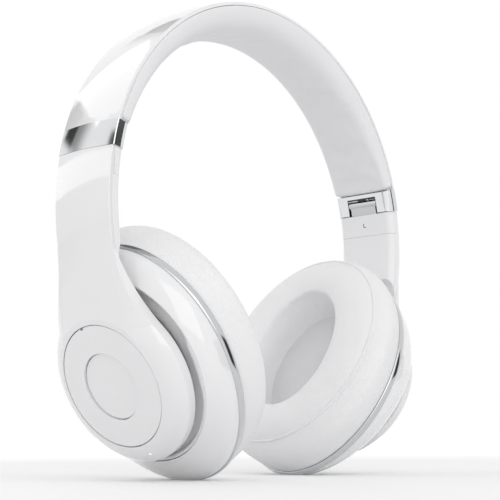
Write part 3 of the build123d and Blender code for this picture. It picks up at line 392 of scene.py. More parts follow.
def build_moulding():
    """Fine grain of moulded or coated plastic, as one small noise."""
    group, start, end = new_group("moulded_texture", (("Grain", 1800.0),), ("Height",))
    place = object_place(group)
    grain = noise(group, place, start.outputs["Grain"], 2.0)
    link(group, grain, end.inputs["Height"])
    return group


def build_brush():
    """Fine lines of ground metal, stretched along the length."""
    group, start, end = new_group("brushed_lines", (("Lines", 900.0),), ("Height",))
    mapping = add(group, "Mapping")
    link(group, object_place(group), mapping.inputs["Vector"])
    mapping.inputs["Scale"].default_value = (1.0, 0.05, 1.0)
    lines = noise(group, mapping.outputs[0], start.outputs["Lines"], 2.0)
    link(group, lines, end.inputs["Height"])
    return group


def build_crown():
    """Height that falls away from the middle of the band to both of its edges as a parabola."""
    group, start, end = new_group("crowned_face", (("Middle", 0.0), ("Fall", 3.0)), ("Height",))
    parts = add(group, "SeparateXYZ")
    link(group, object_place(group), parts.inputs[0])
    across = maths(group, "SUBTRACT", parts.outputs[1], start.outputs["Middle"])
    square = maths(group, "MULTIPLY", across, across)
    fall = maths(group, "MULTIPLY", start.outputs["Fall"], -1.0)
    height = maths(group, "MULTIPLY", square, fall)
    link(group, height, end.inputs["Height"])
    return group


GROUPS = {}
MATERIALS = {}


def place_group(tree, name, **values):
    """Instance of a node group with its own input values."""
    node = add(tree, "Group")
    node.node_tree = GROUPS[name]
    for key, value in values.items():
        node.inputs[key].default_value = value
    return node


def finish(name, colour, rough, metallic=0.0, second=None, cloud=60.0, bump=None, coat=0.0,
           sheen=0.0, specular=0.5):
    """Material: Principled shader whose colour and roughness wander with a cloudy mask between
    two values, and whose normal comes from one of the height groups (group, values, distance,
    strength)."""
    material = bpy.data.materials.new(name)
    material.use_nodes = True
    tree = material.node_tree
    shader = tree.nodes["Principled BSDF"]
    shader.inputs["Metallic"].default_value = metallic
    shader.inputs["Coat Weight"].default_value = coat
    shader.inputs["Coat Roughness"].default_value = 0.04
    shader.inputs["Sheen Weight"].default_value = sheen
    shader.inputs["Sheen Roughness"].default_value = 0.5
    shader.inputs["Specular IOR Level"].default_value = specular
    mask = place_group(tree, "variation", Scale=cloud)
    tone = add(tree, "Mix", data_type="RGBA")
    link(tree, mask.outputs["Value"], tone.inputs["Factor"])
    tone.inputs[6].default_value = (*colour, 1)
    tone.inputs[7].default_value = (*(second or colour), 1)
    link(tree, tone.outputs[2], shader.inputs["Base Color"])
    wander = place_group(tree, "variation", Scale=cloud * 2.3, Low=rough[0], High=rough[1])
    link(tree, wander.outputs["Value"], shader.inputs["Roughness"])
    if bump:
        kind, values, distance, strength = bump
        height = place_group(tree, kind, **values)
        node = add(tree, "Bump")
        node.inputs["Distance"].default_value = distance
        node.inputs["Strength"].default_value = strength
        link(tree, height.outputs["Height"], node.inputs["Height"])
        link(tree, node.outputs[0], shader.inputs["Normal"])
    MATERIALS[name] = material


def build_finishes():
    """Every finish of the headphones, keyed by its plain name."""
    look = bpy.context.scene.headphone_colours
    shell = tuple(look.shell)
    for name, build in (("variation", build_variation), ("leather", build_leather),
                        ("weave", build_weave), ("moulding", build_moulding),
                        ("brush", build_brush), ("crown", build_crown)):
        GROUPS[name] = build()
    near = tuple(v * 0.985 for v in shell)
    fine = ("moulding", {"Grain": 2600.0}, 0.00004, 0.08)
    finish("gloss_shell", shell, (0.05, 0.09), second=near,
           bump=("moulding", {"Grain": 260.0}, 0.00003, 0.05), coat=1.0)
    finish("satin_shell", shell, (0.26, 0.33), second=near, bump=fine)
    # The neck's matt white is set brighter than the shell's white: painted light that lifts the
    # shade of the recess under the hub.
    finish("neck_coating_painted_light", tuple(look.neck), (0.5, 0.58),
           second=tuple(v * 0.97 for v in look.neck),
           bump=("moulding", {"Grain": 2200.0}, 0.00005, 0.15))
    finish("band_padding", tuple(look.padding), (0.5, 0.6),
           second=tuple(v * 0.98 for v in look.padding),
           bump=("leather", {"Cells": 1500.0, "Swell": 200.0}, 0.00005, 0.12), sheen=0.05)
    finish("cushion_leather", tuple(look.cushion), (0.42, 0.56),
           second=tuple(v * 0.965 for v in look.cushion),
           bump=("leather", {"Cells": 1150.0, "Swell": 170.0}, 0.0002, 0.36))
    finish("speaker_cloth", tuple(look.cloth), (0.75, 0.85),
           second=tuple(v * 0.94 for v in look.cloth),
           bump=("weave", {"Threads": 46.0}, 0.0003, 0.6), sheen=0.15)
    bright, duller = (0.76, 0.765, 0.775), (0.72, 0.73, 0.74)
    finish("chrome", bright, (0.06, 0.1), metallic=1.0, second=duller)
    finish("chrome_band", bright, (0.09, 0.13), metallic=1.0, second=duller,
           bump=("crown", {"Middle": -0.001 * BAND_FORWARD, "Fall": 3.4}, 1.0, 1.0))
    # Chrome of the rings: its base colour is set darker than the other chrome as painted shade, in
    # place of the dark reflections between the cups.
    finish("chrome_painted_shade", (0.6, 0.605, 0.62), (0.07, 0.1), metallic=1.0, second=(0.56, 0.57, 0.58))
    finish("ground_steel", (0.62, 0.62, 0.64), (0.22, 0.3), metallic=1.0,
           bump=("brush", {"Lines": 1600.0}, 0.00003, 0.15))
    finish("dull_alloy", (0.56, 0.565, 0.58), (0.3, 0.38), metallic=1.0,
           bump=("moulding", {"Grain": 3000.0}, 0.00003, 0.2))
    finish("black_rubber", (0.018, 0.018, 0.02), (0.5, 0.62), bump=fine)
    finish("black_plastic", (0.03, 0.03, 0.032), (0.4, 0.5), bump=fine)
    finish("indicator", (0.95, 0.96, 1.0), (0.1, 0.15))
    lens = MATERIALS["indicator"].node_tree.nodes["Principled BSDF"]
    lens.inputs["Emission Color"].default_value = (0.95, 0.97, 1.0, 1)
    lens.inputs["Emission Strength"].default_value = 0.5
    finish("letter_ink", (0.16, 0.16, 0.165), (0.5, 0.6), second=(0.2, 0.2, 0.2), bump=fine)
    finish("film", (0.55, 0.5, 0.38), (0.2, 0.3))
    finish("solder_mask", (0.02, 0.12, 0.05), (0.35, 0.45))
    finish("foil", (0.6, 0.6, 0.62), (0.28, 0.36), metallic=1.0)


# Which finish each carried-over part wears, by the start of its name
WEARS = (("headband_cover", "gloss_shell"), ("headband_spring", "ground_steel"),
         ("headband_liner", "satin_shell"), ("headband_pad", "band_padding"),
         ("hinge_block", "chrome_band"), ("hinge_pin", "ground_steel"),
         ("hinge_stop", "black_rubber"), ("hinge_lug", "dull_alloy"),
         ("bracket_screws", "ground_steel"),
         ("bracket", "satin_shell"), ("slider_bar", "ground_steel"),
         ("arm_outer_cover", "gloss_shell"), ("arm_inner_cover", "satin_shell"),
         ("hub_disc", "gloss_shell"), ("volume_disc", "gloss_shell"),
         ("centre_piece", "gloss_shell"), ("play_button", "gloss_shell"),
         ("indicator_lens", "indicator"), ("volume_pivot", "ground_steel"),
         ("button_switches", "black_plastic"), ("play_guide", "black_plastic"),
         ("power_button", "gloss_shell"), ("gimbal_cross", "dull_alloy"),
         ("cup_shell", "gloss_shell"), ("chrome_ring", "chrome"), ("neck_cover", "neck_coating_painted_light"),
         ("cup_frame", "neck_coating_painted_light"), ("baffle_screws", "ground_steel"),
         ("baffle_plate", "black_plastic"), ("driver_magnet", "dull_alloy"),
         ("driver_frame", "black_plastic"), ("diaphragm", "film"),
         ("cushion_base", "black_plastic"), ("driver_cloth", "speaker_cloth"),
         ("ear_cushion", "cushion_leather"), ("circuit_board", "solder_mask"),
         ("usb_socket", "ground_steel"), ("battery", "foil"), ("audio_socket", "black_plastic"))


def wear(piece, finish_name):
    """Put a finish on a piece in place of what it had."""
    piece.data.materials.clear()
    piece.data.materials.append(MATERIALS[finish_name])


def dress_carried_parts():
    """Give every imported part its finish, the first in WEARS whose start its name has."""
    for name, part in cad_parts.items():
        chosen = [finish_name for start, finish_name in WEARS if name.startswith(start)]
        wear(part, chosen[0])


# ---- soft goods ----
# Half width, half height, share of the cushion's set back, depth inwards from the chrome ring:
# one row for each place on the way round the cushion's section, from the ring over the outer
# wall, the seam, the front and the mouth down to the cloth.
CUSHION_SET_BACK = 4.8
CUSHION_RISE = 4.4
CUSHION_ROWS = (
    (38.4, 45.2, 0.0, 0.15), (39.6, 46.2, 0.02, 0.45), (41.4, 46.5, 0.1, 2.8),
    (43.4, 46.8, 0.25, 6.4), (44.5, 46.8, 0.4, 10.2), (43.4, 45.8, 0.62, 13.4),
    (40.7, 43.7, 0.78, 15.5), (40.1, 43.1, 0.8, 15.65), (38.6, 41.6, 0.85, 16.9),
    (35.2, 38.8, 0.93, 18.0), (30.8, 35.6, 1.0, 18.3), (26.2, 32.0, 1.0, 17.9),
    (22.6, 28.9, 1.0, 16.7), (21.3, 27.7, 0.99, 15.7), (20.9, 27.2, 0.94, 13.4),
    (21.4, 26.9, 0.7, 9.8),
    (23.2, 27.0, 0.4, 6.2), (24.4, 27.1, 0.1, 2.6), (25.6, 28.0, 0.0, 2.05),
    (31.0, 36.0, 0.0, 1.75), (37.0, 43.8, 0.0, 1.7), (37.75, 44.55, 0.0, 0.7))


CUSHION_STEPS = 57
# Between these depths the cushion goes from held by its ring to free to swell.
CUSHION_HELD, CUSHION_FREE = 1.2, 4.2
# The cord along the seam: its row, its places and its radius in metres
SEAM_ROW = (40.75, 43.75, 0.79, 15.62)
SEAM_STEPS = 160
SEAM_RADIUS = 0.00042


def cushion_place(side, rows, angle):
    """Ovals in the cup's frame, one for each row: half width times the cosine and half height
    times the sine of the angle, moved back and up by the row's share."""
    front = -CUP_BACK_SHIFT - CUSHION_SET_BACK * rows[:, 2:3] + rows[:, 0:1] * np.cos(angle)
    up = -CUP_DROP + CUSHION_RISE * rows[:, 2:3] + rows[:, 1:2] * np.sin(angle)
    outward = -RING_INNER - rows[:, 3:4] + 0 * angle
    return cup_points(side, front, up, outward)


def make_cushion(side):
    """Ear cushion: a closed sleeve of ovals whose section runs smoothly through the rows."""
    settings = bpy.context.scene.headphone_cushions
    rows = smooth_rows(CUSHION_ROWS + CUSHION_ROWS[:1], np.linspace(0, 1, CUSHION_STEPS)[:-1])
    angle = around(settings.around)[None]
    points = cushion_place(side, rows, angle)
    piece = skin("ear_pad_" + side, points)
    depth = np.broadcast_to(rows[:, 3:4], points.shape[:2])
    free = np.clip((depth - CUSHION_HELD) / (CUSHION_FREE - CUSHION_HELD), 0, 1)
    puff(piece, (1 - free).ravel(), settings.pressure, settings.cap * 0.001)
    refine(piece, 1)
    wear(piece, "cushion_leather")
    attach(piece, "cup_" + side)
    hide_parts("ear_cushion_" + side)
    angle = around(SEAM_STEPS)[None]
    path = cushion_place(side, np.array([SEAM_ROW]), angle)[0]
    welt = tube("ear_pad_welt_" + side, path, SEAM_RADIUS)
    wear(welt, "cushion_leather")
    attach(welt, "cup_" + side)


# Chrome ring: half width and half height of its middle line, its place over the ring's inner
# edge, half the section's breadth and height, the powers that square its corners, and the
# places round the section and round the oval.
TRIM_WIDE, TRIM_HIGH = 39.35, 46.15
TRIM_LIFT = 1.2
TRIM_SWELL, TRIM_RISE = 0.6, 1.5
SWELL_POWER, RISE_POWER = 0.8, 0.6
TRIM_SECTION, TRIM_STEPS = 24, 180


def make_ring(side):
    """Chrome ring between shell and cushion: an oval that carries a low crowned section with
    tight corners, whose sine and cosine are raised to a power below one."""
    section = around(TRIM_SECTION)[:, None]
    angle = around(TRIM_STEPS)[None]
    out, up = np.cos(section), np.sin(section)
    swell = TRIM_SWELL * np.sign(out) * np.abs(out) ** SWELL_POWER
    rise = TRIM_RISE * np.sign(up) * np.abs(up) ** RISE_POWER
    points = cup_points(side, -CUP_BACK_SHIFT + (TRIM_WIDE + swell) * np.cos(angle),
                        -CUP_DROP + (TRIM_HIGH + swell) * np.sin(angle),
                        -RING_INNER + TRIM_LIFT + rise + 0 * angle)
    ring = skin("chrome_trim_" + side, points)
    refine(ring, 1)
    # The ring wears the chrome whose darker base colour is painted shade in place of dark
    # reflections.
    wear(ring, "chrome_painted_shade")
    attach(ring, "cup_" + side)
    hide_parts("chrome_ring_" + side)


# Strokes of the side letters, in millimetres to the reader's right and up
LETTERS = {"L": (((-0.5, 0.95), (-0.5, -0.77), (0.65, -0.77)),),
           "R": (((-0.5, -0.95), (-0.5, 0.77), (0.1, 0.77), (0.42, 0.6), (0.5, 0.35), (0.42, 0.1),
                  (0.1, -0.06), (-0.4, -0.06)), ((0.08, -0.12), (0.62, -0.95)))}
LETTER_STATION = 124.95
LETTER_HALF_STROKE = 0.2
# Depth of the bracket's face under the band line, and of the letter's back and front from it
BRACKET_FACE = 6.0
LETTER_DEPTHS = np.array([0.04, 0.04, -0.12, -0.12])


def make_letter(side):
    """Side letter laid into the bracket: each stroke carries a flat oblong section."""
    reader = 1 if side == "R" else -1
    for number, stroke in enumerate(LETTERS[side], 1):
        line = np.array(stroke)
        ahead = np.gradient(line, axis=0)
        ahead /= np.linalg.norm(ahead, axis=1)[:, None]
        normal = np.stack([-ahead[:, 1], ahead[:, 0]], -1) * LETTER_HALF_STROKE
        edge = line[:, None] + normal[:, None] * np.array([-1, 1, 1, -1])[None, :, None]
        depth = BRACKET_FACE + LETTER_DEPTHS[None] + 0 * edge[..., 0]
        run = (LETTER_STATION - edge[..., 1]) * -reader
        points = band_points(run, edge[..., 0] * reader, depth)
        letter = skin("side_letter_%s_%d" % (side, number), points, wrap_rows=False, caps=True)
        wear(letter, "letter_ink")
        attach(letter, "hinge_" + side)


# Speaker cloth: half width and half height, how far it crowns, the depths of its edge and back,
# the share of the oval at which it starts and the millimetres that one unit of its map covers.
CLOTH_WIDE, CLOTH_HIGH = 25.6, 28.0
CLOTH_CROWN, CLOTH_EDGE, CLOTH_BACK = 0.75, 2.25, 1.66
CLOTH_START = 0.02
CLOTH_ROWS, CLOTH_STEPS = 30, 120
CLOTH_MAP = 50


def make_speaker_cloth(side):
    """Cloth over the driver: an oval that crowns towards the ear by one less the square of the
    share of the way out, with a flat back to close it."""
    outwards = np.linspace(CLOTH_START, 1, CLOTH_ROWS)
    inwards = np.linspace(1, CLOTH_START, CLOTH_ROWS)
    share = np.concatenate([outwards, inwards])[:, None]
    angle = around(CLOTH_STEPS)[None]
    crown = CLOTH_CROWN * (1 - share ** 2) + CLOTH_EDGE
    crown[CLOTH_ROWS:] = CLOTH_BACK
    front = -CUP_BACK_SHIFT + CLOTH_WIDE * share * np.cos(angle)
    up = -CUP_DROP + CLOTH_HIGH * share * np.sin(angle)
    points = cup_points(side, front, up, -RING_INNER - crown + 0 * angle)
    uv = np.stack(np.broadcast_arrays(front / CLOTH_MAP, up / CLOTH_MAP), -1)
    piece = skin("speaker_cloth_" + side, points, wrap_rows=False, caps=True, uv=uv)
    wear(piece, "speaker_cloth")
    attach(piece, "cup_" + side)
    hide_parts("driver_cloth_" + side)


# Radius and height of the neck's outline, parallel to the hub, as two profiles: a shelf at the lip
# that drops close beside the hub, and a hollow that leaves room for the arm. Both go on over a low
# swell and down to the floor, then back along the underside.
NECK_FLOOR = ((28.2, -2.5), (26.9, -2.5), (25.9, -3.0), (25.2, -4.0), (24.4, -4.4), (15.5, -4.4),
              (15.5, -5.6), (32.3, -5.6), (34.3, -3.6))
NECK_SHELF = ((34.3, -0.35), (33.5, -0.5), (32.5, -0.6), (31.8, -0.85), (31.45, -1.4),
              (31.2, -2.2), (30.6, -2.75)) + NECK_FLOOR
NECK_HOLLOW = ((34.3, -0.7), (33.9, -1.4), (33.4, -2.1), (32.6, -2.5), (31.8, -2.75),
               (30.8, -2.85), (29.6, -2.8)) + NECK_FLOOR
# Below the hub the shelf starts further out, where the hub swings when the cup tilts.
SHELF_SHIFT = np.array((0.0, 0.35, 0.85, 1.15, 1.25, 1.25, 1.1) + (0.0,) * len(NECK_FLOOR))
# Sines of the angle round the hub between which the hollow and the lower shelf come in
HOLLOW_FROM, HOLLOW_FULL = 0.2, 0.5
LOW_FROM, LOW_FULL = 0.05, 0.4
NECK_STEPS = 144
# The bead runs this far inside the lip's edge and at this height; its radius is in metres.
BEAD_INSET = 0.45
BEAD_HEIGHT = -0.34
BEAD_RADIUS = 0.00024


def smooth_step(value, low, high):
    """Share that rises smoothly from 0 at low to 1 at high: three squares less two cubes."""
    share = np.clip((value - low) / (high - low), 0, 1)
    return share * share * (3 - 2 * share)


def make_neck(side):
    """Neck between arm and cup: its outline turned about the hub's axis, passing smoothly from
    the shelf to the hollow as the sine of the angle rises and to a narrower shelf as it falls,
    and a slim bead round the lip."""
    angle = around(NECK_STEPS)[None]
    share = smooth_step(np.sin(angle), HOLLOW_FROM, HOLLOW_FULL)
    low = smooth_step(-np.sin(angle), LOW_FROM, LOW_FULL)
    shelf, hollow = (np.array(line)[:, :, None] for line in (NECK_SHELF, NECK_HOLLOW))
    rows = shelf + (hollow - shelf) * share
    rows[:, 0] += SHELF_SHIFT[:, None] * low
    points = upright_points(side, rows[:, 0] * np.cos(angle),
                            LIP_RISE + rows[:, 0] * np.sin(angle), rows[:, 1] + 0 * angle)
    neck = skin("neck_" + side, points)
    refine(neck, 1)
    wear(neck, "neck_coating_painted_light")
    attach(neck, "cup_" + side)
    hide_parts("neck_cover_" + side)
    reach = LIP_RADIUS - BEAD_INSET
    ring = upright_points(side, reach * np.cos(angle), LIP_RISE + reach * np.sin(angle),
                          BEAD_HEIGHT + 0 * angle)[0]
    bead = tube("lip_bead_" + side, ring, BEAD_RADIUS)
    wear(bead, "gloss_shell")
    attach(bead, "cup_" + side)


# Headband padding: depth of its face at the hinges, rounding of its edges at the hinges, what the
# crown adds to it and by which power of the cosine, and the least wall left above the rounding.
PAD_END_DEPTH = 5.9
EDGE_ROUNDING, CROWN_ROUNDING, ROUNDING_POWER = 2.2, 6.2, 1.3
LEAST_WALL = 0.9
# How far it stands past the band's sides and under the cover, and the bow of its face
PAD_OVERHANG = 0.05
PAD_CLEARANCE = 0.04
PAD_BOW = 0.35
# Held at the cover and at the hinges: the depth at which it starts to be free and over how much,
# and the length over which it becomes free along the band.
PAD_HELD, PAD_LOOSENS, PAD_END_LOOSENS = 0.8, 2.5, 8.0


def pad_depth(run):
    """Depth of the pad's inner face under the band line: the face is one arc through the crown
    depth in the middle and its end depth at both hinges, met by the band's own normal. The way
    to a circle is less the dot product with it, less the root of its square less the excess."""
    settings = bpy.context.scene.headphone_padding
    x, z, heading = rail(PAD_END)
    end_x = x + PAD_END_DEPTH * np.sin(heading)
    end_z = z - PAD_END_DEPTH * np.cos(heading)
    top = CROWN_HEIGHT - settings.crown_depth
    drop = top - end_z
    radius = (end_x ** 2 + drop ** 2) / (2 * drop)
    x, z, heading = rail(np.abs(run))
    above = z - (top - radius)
    along = x * np.sin(heading) - above * np.cos(heading)
    excess = x ** 2 + above ** 2 - radius ** 2
    return -along - np.sqrt(along ** 2 - excess)


def make_padding():
    """Headband padding: a section with upright sides, an inner face bowed by a little and
    corners whose rounding grows from the hinges to the crown, carried along the band."""
    settings = bpy.context.scene.headphone_padding
    run = np.linspace(-PAD_END, PAD_END, settings.along)[:, None]
    depth = pad_depth(run)
    share = np.cos(np.pi / 2 * np.clip(run / PAD_END, -1, 1))
    rounding = EDGE_ROUNDING + CROWN_ROUNDING * share ** ROUNDING_POWER
    rounding = np.minimum(rounding, depth - COVER_DEPTH - LEAST_WALL)
    wide = BAND_HALF_WIDTH + PAD_OVERHANG
    side = np.linspace(0, 1, 5)[None]
    turn = np.linspace(0, np.pi / 2, 9)[None, 1:]
    flat = np.linspace(0, 1, 15)[None, 1:-1]
    top = COVER_DEPTH + PAD_CLEARANCE
    wall = depth - rounding
    across = [wide + 0 * run * side, wide - rounding * (1 - np.cos(turn)),
              (wide - rounding) * (1 - 2 * flat)]
    down = [top + (wall - top) * side, wall + rounding * np.sin(turn),
            depth + PAD_BOW * np.sin(np.pi * flat) + 0 * run]
    across += [-across[1][:, ::-1], -across[0][:, ::-1]]
    down += [down[1][:, ::-1], down[0][:, ::-1]]
    back = np.linspace(-1, 1, 11)[None, 1:-1]
    across.append(wide * back + 0 * run)
    down.append(top + 0 * run * back)
    across = np.concatenate(across, 1)
    down = np.concatenate(down, 1)
    points = band_points(run, across, down)
    piece = skin("headband_padding", points, wrap_rows=False, caps=True)
    free = np.clip((down - top - PAD_HELD) / PAD_LOOSENS, 0, 1)
    free = free * np.clip((PAD_END - np.abs(run)) / PAD_END_LOOSENS, 0, 1)
    puff(piece, (1 - free).ravel(), settings.pressure, settings.cap * 0.001)
    refine(piece, 1)
    wear(piece, "band_padding")
    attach(piece, "headband")
    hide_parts("headband_pad")


# ---- stage ----
# Place in millimetres, directions and focal length for a sensor 36 mm wide
CAMERA_PLACE = (-358.25, -318.45, 15.87)
CAMERA_RIGHT = (0.6585, -0.7525, -0.0046)
CAMERA_UP = (-0.1103, -0.1026, 0.9886)
CAMERA_LENS = 87.53


def make_camera():
    """Camera whose right and up directions are squared up, then made its axes."""
    data = bpy.data.cameras.new("camera")
    camera = bpy.data.objects.new("camera", data)
    bpy.context.scene.collection.objects.link(camera)
    right = Vector(CAMERA_RIGHT).normalized()
    up = Vector(CAMERA_UP)
    up = (up - right * up.dot(right)).normalized()
    back = right.cross(up)
    turn = Matrix((right, up, back)).transposed().to_4x4()
    camera.matrix_world = Matrix.Translation(Vector(CAMERA_PLACE) * 0.001) @ turn
    data.lens = CAMERA_LENS
    data.sensor_width = 36
    data.clip_start = 0.01
    bpy.context.scene.camera = camera


# Floor: half its size, how far under zero height it lies, the distances between which it passes
# to plain white for the eye, all in metres, and the glow that shiny parts see.
FLOOR_SIZE = 6.0
FLOOR_DROP = 0.0001
FLOOR_NEAR, FLOOR_FAR = 0.3, 1.9
FLOOR_IN_REFLECTIONS = 0.18


def make_floor():
    """Pale floor that keeps the headphones' shadow and passes to white paper with distance."""
    grid = np.linspace(-FLOOR_SIZE, FLOOR_SIZE, 9)
    x, y = np.meshgrid(grid, grid, indexing="ij")
    points = np.stack([x, y, x * 0 - FLOOR_DROP], -1)
    floor = skin("floor", points, wrap_rows=False, wrap_columns=False)
    material = bpy.data.materials.new("floor_paper")
    material.use_nodes = True
    tree = material.node_tree
    shader = tree.nodes["Principled BSDF"]
    shader.inputs["Base Color"].default_value = (0.86, 0.86, 0.865, 1)
    shader.inputs["Roughness"].default_value = 0.6
    shader.inputs["Specular IOR Level"].default_value = 0.2
    light = add(tree, "LightPath")
    away = add(tree, "VectorMath", operation="LENGTH")
    link(tree, object_place(tree), away.inputs[0])
    far = add(tree, "MapRange")
    link(tree, away.outputs["Value"], far.inputs["Value"])
    far.inputs["From Min"].default_value = FLOOR_NEAR
    far.inputs["From Max"].default_value = FLOOR_FAR
    far.inputs["To Min"].default_value = bpy.context.scene.headphone_stage.paper
    far.inputs["To Max"].default_value = 1.0
    seen = maths(tree, "MULTIPLY", light.outputs["Is Camera Ray"], far.outputs["Result"])
    seen = maths(tree, "MULTIPLY_ADD", light.outputs["Is Glossy Ray"], FLOOR_IN_REFLECTIONS,
                 seen)
    shader.inputs["Emission Color"].default_value = (1, 1, 1, 1)
    link(tree, seen, shader.inputs["Emission Strength"])
    floor.data.materials.append(material)
    if floor.data.polygons[0].normal.z < 0:
        floor.data.flip_normals()


# Dark screens round the set that only the shiny parts see: direction they stand in, the half
# sizes sideways and upwards, how soft their upright edges are and how dark they are.
SCREENS = (((-0.168, 0.850, 0.5), 0.12, 0.1, 0.03, 0.96),
           ((-0.31, 0.81, 0.5), 0.14, 0.1, 0.13, 0.66),
           ((-0.80, 0.33, 0.5), 0.085, 0.1, 0.03, 0.94),
           ((0.38, 0.40, 0.84), 0.27, 0.22, 0.06, 0.8),
           ((0.69, -0.71, 0.12), 0.16, 0.17, 0.03, 0.94),
           ((0.89, -0.38, -0.05), 0.25, 0.05, 0.03, 0.6))
SCREEN_TOP_BLUR = 0.02


def screen_mask(tree, place, direction, wide, high, soft, dark):
    """Soft-edged rectangle on the sphere of directions, facing its own middle."""
    middle = Vector(direction).normalized()
    side = Vector((0, 0, 1)).cross(middle).normalized()
    rise = middle.cross(side)
    masks = []
    for axis, half, blur in ((side, wide, soft), (rise, high, SCREEN_TOP_BLUR)):
        dot = add(tree, "VectorMath", operation="DOT_PRODUCT")
        link(tree, place, dot.inputs[0])
        dot.inputs[1].default_value = axis
        edge = add(tree, "MapRange", interpolation_type="SMOOTHSTEP")
        link(tree, maths(tree, "ABSOLUTE", dot.outputs["Value"]), edge.inputs["Value"])
        edge.inputs["From Min"].default_value = half + blur
        edge.inputs["From Max"].default_value = half - blur
        masks.append(edge.outputs["Result"])
    ahead = add(tree, "VectorMath", operation="DOT_PRODUCT")
    link(tree, place, ahead.inputs[0])
    ahead.inputs[1].default_value = middle
    masks.append(maths(tree, "GREATER_THAN", ahead.outputs["Value"], 0.0))
    both = maths(tree, "MULTIPLY", masks[0], masks[1])
    return maths(tree, "MULTIPLY", maths(tree, "MULTIPLY", both, masks[2]), dark)


def make_world():
    """White to the camera; to shiny parts the same white with dark screens standing in it; and
    for the light itself a plain even room, a little brighter above than below."""
    world = bpy.data.worlds.new("plain_room")
    bpy.context.scene.world = world
    world.use_nodes = True
    tree = world.node_tree
    tree.nodes.clear()
    out = add(tree, "OutputWorld")
    light = add(tree, "LightPath")
    place = add(tree, "TexCoord").outputs["Generated"]
    parts = add(tree, "SeparateXYZ")
    link(tree, place, parts.inputs[0])
    room = add(tree, "Background")
    height = maths(tree, "MULTIPLY_ADD", parts.outputs[2], 0.5, 0.5)
    ramp = add(tree, "ValToRGB")
    link(tree, height, ramp.inputs[0])
    ramp.color_ramp.elements[0].position = 0.4
    ramp.color_ramp.elements[0].color = (0.8, 0.8, 0.81, 1)
    ramp.color_ramp.elements[1].position = 0.7
    ramp.color_ramp.elements[1].color = (1, 1, 1, 1)
    link(tree, ramp.outputs[0], room.inputs["Color"])
    room.inputs["Strength"].default_value = bpy.context.scene.headphone_stage.sky
    dark = None
    for direction, *shape in SCREENS:
        mask = screen_mask(tree, place, direction, *shape)
        dark = mask if dark is None else maths(tree, "MAXIMUM", dark, mask)
    shown = add(tree, "Background")
    tone = maths(tree, "SUBTRACT", 1.0, dark)
    link(tree, tone, shown.inputs["Color"])
    paper = add(tree, "Background")
    paper.inputs["Color"].default_value = (1, 1, 1, 1)
    glossy = add(tree, "MixShader")
    link(tree, light.outputs["Is Glossy Ray"], glossy.inputs[0])
    link(tree, room.outputs[0], glossy.inputs[1])
    link(tree, shown.outputs[0], glossy.inputs[2])
    mix = add(tree, "MixShader")
    link(tree, light.outputs["Is Camera Ray"], mix.inputs[0])
    link(tree, glossy.outputs[0], mix.inputs[1])
    link(tree, paper.outputs[0], mix.inputs[2])
    link(tree, mix.outputs[0], out.inputs[0])


def lamp(name, place, target, size, power, roll=0.0):
    """Softbox at a place, aimed at a target and rolled about its own line by some degrees."""
    data = bpy.data.lights.new(name, "AREA")
    data.shape = "RECTANGLE"
    data.size, data.size_y = size
    data.energy = power
    light = bpy.data.objects.new(name, data)
    bpy.context.scene.collection.objects.link(light)
    light.location = place
    aim = Vector(target) - Vector(place)
    turn = aim.to_track_quat("-Z", "Y") @ Quaternion((0, 0, 1), radians(roll))
    light.rotation_euler = turn.to_euler()


# ---- settings a user would change ----
def colour(name, description, value):
    """Colour setting for a PropertyGroup."""
    return FloatVectorProperty(name=name, description=description, default=value, size=3,
                               min=0, max=1, subtype="COLOR")


class HeadphoneColours(bpy.types.PropertyGroup):
    """Colours of the shell and the soft goods"""
    shell: colour("Shell", "Hard plastic of band, arms and cups", (0.86, 0.86, 0.868))
    padding: colour("Headband padding", "Soft skin inside the headband", (0.82, 0.82, 0.83))
    cushion: colour("Cushions", "Leather of the ear cushions", (0.89, 0.89, 0.898))
    cloth: colour("Speaker cloth", "Cloth over the drivers", (0.88, 0.88, 0.89))
    # Matt white coating, set brighter than the shell as painted light to lift the shade of its
    # recess.
    neck: colour("Neck", "Matt coating between arm and cup", (0.95, 0.95, 0.955))


class HeadphoneCushions(bpy.types.PropertyGroup):
    """Steps and stuffing of the ear cushions"""
    around: IntProperty(name="Steps around", description="Places around each cushion",
                        default=112, min=48, max=240)
    pressure: FloatProperty(name="Air pressure", description="How hard the filling pushes",
                            default=15.0, min=0, max=100)
    cap: FloatProperty(name="Furthest swell in mm", description="No place moves further than this",
                       default=1.2, min=0, max=6)


class HeadphonePadding(bpy.types.PropertyGroup):
    """Steps, depth and stuffing of the headband padding"""
    along: IntProperty(name="Steps along", description="Places along the headband",
                       default=97, min=25, max=241)
    crown_depth: FloatProperty(name="Depth at the crown in mm",
                               description="Thickness of band and padding at the top centre",
                               default=11.0, min=7, max=16)
    pressure: FloatProperty(name="Air pressure", description="How hard the filling pushes",
                            default=8.0, min=0, max=100)
    cap: FloatProperty(name="Furthest swell in mm", description="No place moves further than this",
                       default=1.0, min=0, max=6)


class HeadphoneStage(bpy.types.PropertyGroup):
    """Room light, lamps and floor"""
    sky: FloatProperty(name="Room light", description="Strength of the room's own light",
                       default=0.76, min=0, max=3)
    key: FloatProperty(name="Front lamp", description="Power of the lamp by the camera",
                       default=10.5, min=0, subtype="POWER", unit="POWER")
    back: FloatProperty(name="Back lamp", description="Power of the lamp behind on the left",
                        default=1.3, min=0, subtype="POWER", unit="POWER")
    side: FloatProperty(name="Side lamp", description="Power of the low lamp on the left",
                        default=1.3, min=0, subtype="POWER", unit="POWER")
    rim: FloatProperty(name="Rim lamp", description="Power of the small lamp right behind",
                       default=1.0, min=0, subtype="POWER", unit="POWER")
    paper: FloatProperty(name="Floor glow", description="White added to the floor for the eye",
                         default=0.1, min=0, max=1)


class HEADPHONES_OT_finishes(bpy.types.Operator):
    """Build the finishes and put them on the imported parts"""
    bl_idname = "headphones.finishes"
    bl_label = "Finishes"

    def execute(self, context):
        build_finishes()
        dress_carried_parts()
        return {"FINISHED"}


